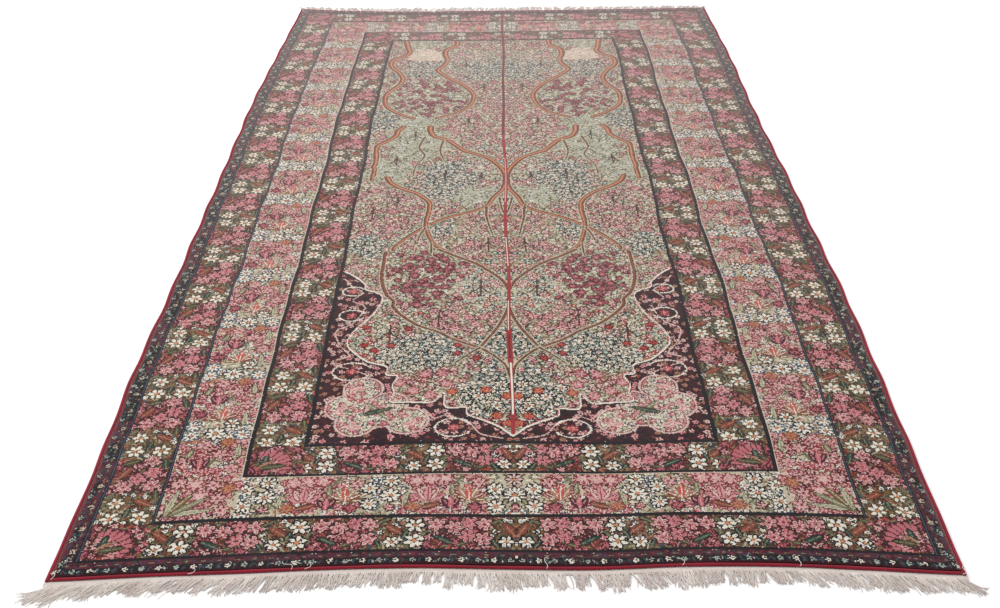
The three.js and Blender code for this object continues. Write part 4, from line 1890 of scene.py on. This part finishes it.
@dataclass(frozen=True)
class PileRug:
    """The knotted rug itself: one closed mesh that carries the knot chart on its top."""

    across: int = 186
    along: int = 354
    group: int = 4
    rim_drop: float = 1.5
    unevenness: float = 0.45
    sway_across: float = 1.8
    sway_along: float = 2.8
    cap_rows: int = 7

    KNOTS = "knots"
    CELL_MAP = "knot_cell"
    WEAVE_MAP = "weave"
    BAKE_MAP = "OFBake"

    # The shares of the bake map: the top, then a strip for the walls, then the back.
    TOP_SHARE, WALL_FROM, WALL_SHARE, BACK_FROM, BACK_SHARE = 0.94, 0.943, 0.004, 0.952, 0.045

    def top_height(self, u: np.ndarray, v: np.ndarray) -> np.ndarray:
        """The height of the pile, uneven by a fraction of a millimetre.

        Args:
            u: Places across the straight rug.
            v: Places along it.

        Returns:
            The height at each place, in millimetres.
        """
        wave = np.sin(u / 83 + np.sin(v / 140)) + np.sin(v / 97 + 1.3 * np.sin(u / 160))
        wave = wave + np.sin((u + v) / 61)
        return RUG.thickness + wave * self.unevenness / 3

    def vertices(self) -> np.ndarray:
        """Lays the top grid and the rim below it on the floor.

        Returns:
            The points of the top, then those of the rim below, in metres.
        """
        half_u, half_v = RUG.half_width - RUG.inset, RUG.half_length - RUG.inset
        columns = np.linspace(-half_u, half_u, self.across + 1)
        rows = np.linspace(-half_v, half_v, self.along + 1)
        u, v = np.meshgrid(columns, rows)
        z = self.top_height(u, v)
        rim = np.ones_like(z, bool)
        rim[1:-1, 1:-1] = False
        z[rim] = RUG.thickness - self.rim_drop
        x, y = RUG.strayed(u, v)
        middle = smooth_line(RUG.middle_stray, (v / half_v + 1) / 2)
        x = x + middle * (1 - (u / half_u) ** 2)
        loose = (1 - (u / half_u) ** 12) * (1 - (v / half_v) ** 12)
        x = x + self.sway_across * loose * np.sin(v / 78 + 1 + np.sin(u / 260))
        y = y + self.sway_along * loose * np.sin(u / 92 + 2 * np.sin(v / 210))
        top = np.column_stack([x.ravel(), y.ravel(), z.ravel()])
        bottom = top[grid_rim(self.grid())] * (1, 1, 0)
        return np.vstack([top, bottom]) * MM

    def grid(self) -> np.ndarray:
        """The numbers of the top vertices, in rows from the near left."""
        return np.arange((self.across + 1) * (self.along + 1)).reshape(self.along + 1, self.across + 1)

    def lower_faces(self) -> list[tuple[int, ...]]:
        """Closes the rug below, with the wall round the rim and the flat back.

        Returns:
            The vertex numbers of each face, the walls first.
        """
        grid = self.grid()
        rim = grid_rim(grid)
        low = grid.size + np.arange(len(rim))
        walls = np.column_stack([low, np.roll(low, -1), np.roll(rim, -1), rim])
        faces = [tuple(wall) for wall in walls.tolist()]
        right = low[self.across : self.across + self.along + 1]
        left = np.concatenate([low[:1], low[: -self.along - 1 : -1]])
        near = low[: self.across + 1]
        far = low[self.across + self.along : 2 * self.across + self.along + 1]
        cap = self.cap_rows
        near_cap = [left[cap], *right[cap:0:-1], *near[::-1], *left[1:cap]]
        far_rim = [*left[-cap:-1], *far[::-1], *right[-2 : -1 - cap : -1]]
        far_cap = [right[-1 - cap], left[-1 - cap], *far_rim]
        for ring in (near_cap, far_cap):
            faces.append(tuple(int(number) for number in ring))
        for j in range(cap, self.along - cap):
            faces.append((int(left[j]), int(left[j + 1]), int(right[j + 1]), int(right[j])))
        return faces

    def build(self, pattern: RugPattern) -> Piece:
        """Builds the rug with its chart, its UV maps and its two finishes.

        Args:
            pattern: The chart of the pile.

        Returns:
            The rug.
        """
        points, top, lower = self.vertices(), grid_quads(self.grid()), self.lower_faces()
        mesh = bpy.data.meshes.new("pile_rug")
        mesh.from_pydata(points.tolist(), [], [*top.tolist(), *lower])
        mesh.materials.append(WoolPileFinish(self.along * self.group).build())
        mesh.materials.append(WovenBackFinish().build())
        walls = 2 * (self.across + self.along)
        slots = np.zeros(len(mesh.polygons), np.int32)
        slots[len(top) + walls :] = 1
        mesh.polygons.foreach_set("material_index", slots)
        smooth = np.zeros(len(mesh.polygons), bool)
        smooth[: len(top)] = True
        mesh.polygons.foreach_set("use_smooth", smooth)
        self.write_maps(mesh, len(top), walls)
        chart = mesh.attributes.new(self.KNOTS, "FLOAT_COLOR", "FACE")
        cells = np.zeros((len(mesh.polygons), 4), np.float32)
        cells[: len(top)] = pattern.packed(self.group)
        cells[len(top) : len(top) + walls] = self.wall_knots()
        chart.data.foreach_set("color", cells.ravel())
        return linked("pile_rug", mesh)

    def wall_knots(self) -> np.ndarray:
        """Four packed rows of maroon knots, for the walls."""
        return np.full(4, sum(int(MAROON) * YARN_COUNT**n for n in range(self.group)), np.float32)

    def write_maps(self, mesh: bpy.types.Mesh, tops: int, walls: int) -> None:
        """Writes the cell map, the weave map and the map for baking.

        Args:
            mesh: The rug's mesh.
            tops: The number of its top faces.
            walls: The number of its wall faces.
        """
        loops = np.empty(len(mesh.loops), np.int32)
        mesh.loops.foreach_get("vertex_index", loops)
        u, v = np.meshgrid(np.linspace(0, 1, self.across + 1), np.linspace(0, 1, self.along + 1))
        flat = np.column_stack([u.ravel(), v.ravel()])
        flat = np.vstack([flat, flat[grid_rim(self.grid())]])[loops]
        cell = np.full((len(loops), 2), 0.5, np.float32)
        cell[: tops * 4] = np.tile([(0, 0), (1, 0), (1, 1), (0, 1)], (tops, 1))
        bake = flat * (1.0, self.TOP_SHARE)
        wall, back = slice(tops * 4, (tops + walls) * 4), slice((tops + walls) * 4, None)
        bake[wall, 1] = self.WALL_FROM + self.WALL_SHARE * np.tile([0, 0, 1, 1], walls)
        bake[wall, 0] = (np.repeat(np.arange(walls), 4) + np.tile([0, 1, 1, 0], walls)) / walls
        bake[back] = flat[back] * (1.0, self.BACK_SHARE) + (0.0, self.BACK_FROM)
        weave = flat * (self.across * self.group, self.along * self.group)
        for name, values in ((self.BAKE_MAP, bake), (self.CELL_MAP, cell), (self.WEAVE_MAP, weave)):
            layer = mesh.uv_layers.new(name=name, do_init=False)
            layer.uv.foreach_set("vector", np.asarray(values, np.float32).ravel())


class TubeMesh:
    """Many round strands gathered into one mesh, each with its own tone."""

    TONE = "tone"

    def __init__(self, sides: int) -> None:
        """Starts an empty bundle.

        Args:
            sides: The corners of a strand's section.
        """
        self.sides = sides
        self.points: list[np.ndarray] = []
        self.tones: list[np.ndarray] = []
        self.faces: list[list[int]] = []
        self.count = 0
        self.flat_faces = 0

    def strand(self, line: np.ndarray, radius: np.ndarray, tone: np.ndarray) -> None:
        """Adds one closed strand.

        Args:
            line: Its middle line, one point a row.
            radius: Its radius at each point, one number or one for each side.
            tone: Its tone at each point, one number or one for each side.
        """
        steps = len(line)
        ahead = np.gradient(line, axis=0)
        ahead /= np.linalg.norm(ahead, axis=1)[:, None]
        side = np.column_stack([-ahead[:, 1], ahead[:, 0], np.zeros(steps)])
        side /= np.maximum(np.linalg.norm(side, axis=1), 1e-9)[:, None]
        up = np.cross(ahead, side)
        angle = 2 * math.pi * np.arange(self.sides) / self.sides
        section = (steps, self.sides)
        radius = np.broadcast_to(radius if np.ndim(radius) == 2 else np.asarray(radius)[:, None], section)
        ring = np.cos(angle)[None, :, None] * side[:, None] + np.sin(angle)[None, :, None] * up[:, None]
        points = line[:, None] + radius[..., None] * ring
        tone = np.broadcast_to(tone if np.ndim(tone) == 2 else np.asarray(tone)[:, None], section)
        self.points.append(points.reshape(-1, 3))
        self.tones.append(tone.reshape(-1))
        here = self.count + np.arange(steps * self.sides).reshape(steps, self.sides)
        turned = np.roll(here, -1, axis=1)
        quads = np.stack([here[:-1], turned[:-1], turned[1:], here[1:]], axis=-1).reshape(-1, 4)
        self.faces += quads.tolist()
        self.faces += [here[0, ::-1].tolist(), here[-1].tolist()]
        self.count += steps * self.sides

    def sheet(self, grid: np.ndarray, tone: np.ndarray, floor: float) -> None:
        """Adds a closed strip with a shaped top and a flat back.

        Args:
            grid: The top points, in rows and columns.
            tone: The tone of each top point.
            floor: The height of the back.
        """
        rows, columns = grid.shape[:2]
        top = self.count + np.arange(rows * columns).reshape(rows, columns)
        low = top + rows * columns
        back = grid.copy()
        back[..., 2] = floor
        self.points += [grid.reshape(-1, 3), back.reshape(-1, 3)]
        self.tones += [tone.reshape(-1), tone.reshape(-1)]
        for face, turn in ((top, 1), (low, -1)):
            self.faces += grid_quads(face)[:, ::turn].tolist()
        rim = grid_rim(top)
        ahead = np.roll(rim, -1)
        drop = rows * columns
        self.faces += np.column_stack([rim + drop, ahead + drop, ahead, rim]).tolist()
        self.count += 2 * rows * columns
        self.flat_faces = len(self.faces)

    def build(self, name: str, material: Material) -> Piece:
        """Builds the gathered strands.

        Args:
            name: The piece's name.
            material: Its finish.

        Returns:
            The piece.
        """
        mesh = bpy.data.meshes.new(name)
        mesh.from_pydata((np.vstack(self.points) * MM).tolist(), [], self.faces)
        mesh.materials.append(material)
        mesh.polygons.foreach_set("use_smooth", np.arange(len(mesh.polygons)) >= self.flat_faces)
        tone = mesh.attributes.new(self.TONE, "FLOAT", "POINT")
        tone.data.foreach_set("value", np.concatenate(self.tones).astype(np.float32))
        return linked(name, mesh)


@dataclass(frozen=True)
class OvercastCord:
    """A red cord along one edge, with the ridges of its winding."""

    step: float = 0.95
    ridge_pitch: float = 3.8
    ridge: float = 0.09
    sides: int = 8
    side_fill: float = 0.93
    end_fill: float = 0.82

    def wound(self, line: np.ndarray, name: str, material: Material, fill: float) -> Piece:
        """Winds the cord along a line.

        Args:
            line: The cord's middle line.
            name: The piece's name.
            material: Its finish.
            fill: How much of the room for the cord it takes.

        Returns:
            The cord.
        """
        along = np.arange(len(line)) * self.step
        angle = 2 * math.pi * np.arange(self.sides) / self.sides
        turn = 2 * math.pi * along[:, None] / self.ridge_pitch + angle[None, :]
        slack = 0.04 * np.sin(along / 41) + 0.03 * np.sin(along / 17 + 1)
        radius = RUG.cord / 2 * (fill - self.ridge * (1 - np.cos(turn)) / 2 + slack[:, None])
        # The tone paints a highlight on the crest of each turn of the winding and shade in the grooves
        # between them, with a slow change along the cord.
        tone = 0.5 + 0.5 * np.cos(turn) + 0.25 * np.sin(along / 23)[:, None]
        tubes = TubeMesh(self.sides)
        tubes.strand(line, radius, np.clip(tone, 0, 1))
        return tubes.build(name, material)

    def side(self, side: RugSide, material: Material) -> Piece:
        """Builds the cord of a long side.

        Args:
            side: Which side.
            material: Its finish.

        Returns:
            The cord.
        """
        v = np.arange(-RUG.half_length, RUG.half_length + 0.01, self.step)
        u = np.full_like(v, side.value * (RUG.half_width - RUG.cord / 2))
        name = f"selvedge_cord_{side.name.lower()}"
        return self.wound(self.lifted(u, v), name, material, self.side_fill)

    def end(self, end: RugEnd, material: Material) -> Piece:
        """Builds the cord of an end.

        Args:
            end: Which end.
            material: Its finish.

        Returns:
            The cord.
        """
        half = RUG.half_width - RUG.cord - RUG.gap - 0.2
        u = np.arange(-half, half + 0.01, self.step)
        v = np.full_like(u, end.value * (RUG.half_length - RUG.cord / 2))
        return self.wound(self.lifted(u, v), f"end_cord_{end.name.lower()}", material, self.end_fill)

    def lifted(self, u: np.ndarray, v: np.ndarray) -> np.ndarray:
        """Lays a line of the straight rug on the floor, half a cord up."""
        x, y = RUG.strayed(u, v)
        return np.column_stack([x, y, np.full_like(x, RUG.cord / 2)])


@dataclass(frozen=True)
class FringeLie:
    """How the fringe of one end lies, from left to right."""

    leans: tuple[float, ...]
    lengths: tuple[float, ...]
    gaps: tuple[float, ...]
    strands: int
    seed: int


FRINGE_LIES: dict[RugEnd, FringeLie] = {
    RugEnd.NEAR: FringeLie(
        (-56, -49, -40, -20, -14, 3, 14, 15, 14, 12, 24, 22, 42),
        (68, 48, 49, 42, 36, 35, 40, 40, 41, 37, 36, 43, 46),
        (-534, -385, -137, 103, 212), 1500, 11),
    RugEnd.FAR: FringeLie(
        (-26, -12, -8, 4, 10, 2, -6, 0, 8, 14, 10, 16, 24),
        (44, 50, 56, 58, 55, 58, 56, 54, 58, 54, 52, 50, 44),
        (-610, -420, -260, -60, 150, 330, 480, 640), 950, 12),
}


@dataclass(frozen=True)
class WarpFringe:
    """The woven web at one end and the loose warp yarns that grow out of it."""

    end: RugEnd
    web: float = 8.0
    yarn: float = 0.95
    steps: int = 11
    bunch: float = 17.0
    far_grey: float = 0.5
    sides: int = 5
    gather: float = 0.3
    gap_half: float = 5.0
    gap_chance: float = 0.8
    root_tuck: float = 2.5
    web_rows: int = 5
    web_columns: int = 1000
    thread_steps: int = 16
    thread_radius: float = 0.55

    # Root across the rug, reach and lean of each loose thread.
    THREADS: ClassVar[tuple[Point3, ...]] = (
        (-520, 26, 20), (-352, 30, -35), (-330, 22, 15), (65, 30, 25), (290, 24, -20), (480, 28, 30),
        (-738, 20, -30), (740, 22, 35),
    )

    def build(self, material: Material) -> Piece:
        """Builds the web and the strands.

        Args:
            material: The cotton finish.

        Returns:
            The fringe.
        """
        lie = FRINGE_LIES[self.end]
        dice = np.random.default_rng(lie.seed)
        tubes = TubeMesh(self.sides)
        self.weave(tubes, dice)
        bunches = int(RUG.width / self.bunch)
        bunch_lean = dice.normal(0, 7, bunches + 1)
        bunch_length = dice.uniform(0.72, 1.08, bunches + 1)
        grey = self.far_grey if self.end is RugEnd.FAR else 0.0
        bunch_tone = dice.uniform(0.15, 0.9, bunches + 1) - grey
        for number in range(lie.strands):
            share = (number + dice.uniform(-0.7, 0.7)) / (lie.strands - 1)
            share = float(np.clip(share, 0.001, 0.999))
            u = (2 * share - 1) * (RUG.half_width - 2)
            if min(abs(u - gap) for gap in lie.gaps) < self.gap_half and dice.random() < self.gap_chance:
                continue
            own = int(share * bunches)
            middle = ((own + 0.5) / bunches * 2 - 1) * RUG.half_width
            lean = float(smooth_line(lie.leans, np.asarray(share))) + bunch_lean[own] + dice.normal(0, 5)
            usual = float(smooth_line(lie.lengths, np.asarray(share)))
            length = usual * bunch_length[own] * dice.uniform(0.8, 1.05)
            line = self.strand_line(u, (middle - u) * self.gather, lean, length, dice)
            radius = self.yarn * dice.uniform(0.75, 1.1) * np.linspace(1.0, 0.62, self.steps)
            soiling = np.linspace(0.1, -0.15, self.steps)
            tone = np.clip(bunch_tone[own] + dice.normal(0, 0.18) + soiling, 0, 1)
            tubes.strand(line, radius, tone)
        if self.end is RugEnd.NEAR:
            self.loose_threads(tubes, dice)
        return tubes.build(f"warp_fringe_{self.end.name.lower()}", material)

    def strand_line(self, u: float, gather: float, lean: float, length: float,
                    dice: np.random.Generator) -> np.ndarray:
        """Lays one strand on the floor.

        Args:
            u: Its root across the rug.
            gather: How far its bunch draws it sideways.
            lean: Its lean towards +X, in degrees.
            length: Its length.
            dice: The seeded random numbers.

        Returns:
            Its middle line.
        """
        share = np.linspace(0, 1, self.steps)
        curl = dice.normal(0, 16) * share**1.6 + dice.normal(0, 9) * np.sin(share * dice.uniform(4, 9))
        angle = np.radians(lean * np.minimum(share * 4, 1) + curl)
        ds = length / (self.steps - 1)
        across = np.concatenate([[0], np.cumsum(np.sin(angle[1:]) * ds)]) + gather * np.sin(share * 2.2)
        out = np.concatenate([[0], np.cumsum(np.cos(angle[1:]) * ds)])
        root = RUG.half_length + RUG.end_gap + self.web - self.root_tuck
        x, y = RUG.strayed(np.asarray(u), np.asarray(self.end.value * root))
        lift = dice.uniform(0.2, 3.0) * np.sin(share * math.pi) * (1 - share)
        z = 1.0 + 0.9 * np.exp(-share * 6) + lift
        return np.column_stack([x + across, y + self.end.value * out, z])

    def weave(self, tubes: TubeMesh, dice: np.random.Generator) -> None:
        """Adds the ribbed web between the cord and the strands.

        Args:
            tubes: The mesh to add to.
            dice: The seeded random numbers.
        """
        columns = self.web_columns
        u = np.linspace(-RUG.half_width, RUG.half_width, columns)
        rows = RUG.half_length + RUG.end_gap + np.linspace(0, self.web, self.web_rows)
        rows = rows if self.end is RugEnd.NEAR else rows[::-1]
        grid = np.zeros((self.web_rows, columns, 3))
        for number, v in enumerate(rows[::-1]):
            x, y = RUG.strayed(u, np.full(columns, self.end.value * v))
            rib = 0.3 * np.cos(np.arange(columns) * math.pi + number * math.pi)
            grid[number] = np.column_stack([x, y, (2.6 if number % (self.web_rows - 1) else 1.9) + rib])
        tone = np.clip(0.62 + dice.normal(0, 0.12, (self.web_rows, columns)), 0, 1)
        tubes.sheet(grid, tone, 0.4)

    def loose_threads(self, tubes: TubeMesh, dice: np.random.Generator) -> None:
        """Adds the few pale threads that lie over the near edge of the pile.

        Args:
            tubes: The mesh to add to.
            dice: The seeded random numbers.
        """
        for u, reach, lean in self.THREADS:
            share = np.linspace(0, 1, self.thread_steps)
            angle = np.radians(lean + 60 * np.sin(share * 5 + dice.uniform(0, 3)))
            step = reach / 8
            across = u + np.cumsum(np.sin(angle)) * step * 0.5
            inward = -RUG.half_length - 2 + np.cumsum(np.abs(np.cos(angle))) * step * 0.6
            x, y = RUG.strayed(across, inward)
            z = np.where(inward < -RUG.half_length + 9, 7.6, 7.5)
            radius = np.full(self.thread_steps, self.thread_radius)
            tubes.strand(np.column_stack([x, y, z]), radius, np.ones(self.thread_steps))


@dataclass(frozen=True)
class Studio:
    """The pale floor, the soft lights and the camera of the photo."""

    floor_size: float = 30.0
    floor_drop: float = 0.0003
    world_strength: float = 0.71
    lens: float = 40.956
    camera_place: tuple[float, float, float] = (0.0016, -2.7453, 1.3853)
    pitch: float = 57.164
    roll: float = 0.373
    yaw: float = 0.105

    def build(self) -> None:
        """Sets the floor, the world, the lights, the camera and the view."""
        self.lay_floor()
        self.light_world()
        self.area_light("key", (-2.4, 0.8, 4.2), (0, 0.1, 0), 3.0, 140)
        self.area_light("far_fill", (1.4, 4.2, 3.4), (0, 0.4, 0), 3.0, 90)
        self.set_camera()
        view = bpy.context.scene.view_settings
        view.view_transform = "Standard"
        view.look = "None"

    def lay_floor(self) -> None:
        """Lays the floor just under the rug."""
        half, low = self.floor_size / 2, -self.floor_drop
        mesh = bpy.data.meshes.new("studio_floor")
        corners = [(-half, -half, low), (half, -half, low), (half, half, low), (-half, half, low)]
        mesh.from_pydata(corners, [], [(0, 1, 2, 3)])
        mesh.materials.append(FloorFinish().build())
        linked("studio_floor", mesh)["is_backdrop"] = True

    def light_world(self) -> None:
        """Fills the room with even white light."""
        world = bpy.data.worlds.new("studio")
        world.use_nodes = True
        background = world.node_tree.nodes["Background"]
        background.inputs["Color"].default_value = (1.0, 1.0, 1.0, 1.0)
        background.inputs["Strength"].default_value = self.world_strength
        bpy.context.scene.world = world

    def area_light(self, name: str, place: Point3, aim: Point3, size: float, power: float) -> None:
        """Hangs a soft square light.

        Args:
            name: The light's name.
            place: Where it hangs.
            aim: What it points at.
            size: The length of its side.
            power: Its power in watts.
        """
        lamp = bpy.data.lights.new(name, "AREA")
        lamp.shape = "SQUARE"
        lamp.size = size
        lamp.energy = power
        light = linked(name, lamp)
        light.location = place
        light.rotation_euler = (Vector(aim) - Vector(place)).to_track_quat("-Z", "Y").to_euler()
        light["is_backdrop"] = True

    def set_camera(self) -> None:
        """Sets the camera where the photo was taken from."""
        data = bpy.data.cameras.new("photo_camera")
        data.sensor_width = 36.0
        data.lens = self.lens
        camera = linked("photo_camera", data)
        camera.location = self.camera_place
        camera.rotation_euler = tuple(math.radians(turn) for turn in (self.pitch, self.roll, self.yaw))
        bpy.context.scene.camera = camera


def place_piece(piece: Piece, node: str) -> None:
    """Hands a dressed piece over to the frame.

    Args:
        piece: The piece.
        node: The CAD node that it dresses.
    """
    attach(piece, BODY)
    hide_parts(node)
    LOG.info("%s dresses %s with %d faces", piece.name, node, len(piece.data.polygons))


def main() -> None:
    """Builds every piece of the rug and the studio round it."""
    logging.basicConfig(level=logging.INFO)
    rug_plan = PileRug()
    pattern = RugPattern(rug_plan.across * rug_plan.group, rug_plan.along * rug_plan.group)
    rug = rug_plan.build(pattern)
    place_piece(rug, "rug")
    cord_plan = OvercastCord()
    red = OvercastFinish().build()
    cotton = CottonFinish().build()
    edges: list[Piece] = []
    for side in RugSide:
        cord = cord_plan.side(side, red)
        place_piece(cord, f"selvedge_{side.name.lower()}")
        edges.append(cord)
    for end in RugEnd:
        cord = cord_plan.end(end, red)
        place_piece(cord, f"end_binding_{end.name.lower()}")
        fringe = WarpFringe(end).build(cotton)
        place_piece(fringe, f"fringe_{end.name.lower()}")
        edges += [cord, fringe]
    Studio().build()
    boxes = {"cad": CAD_BOX, "visual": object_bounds()}
    {name: [list(corner) for corner in box] for name, box in boxes.items()}


if __name__ == "__main__":
    main()
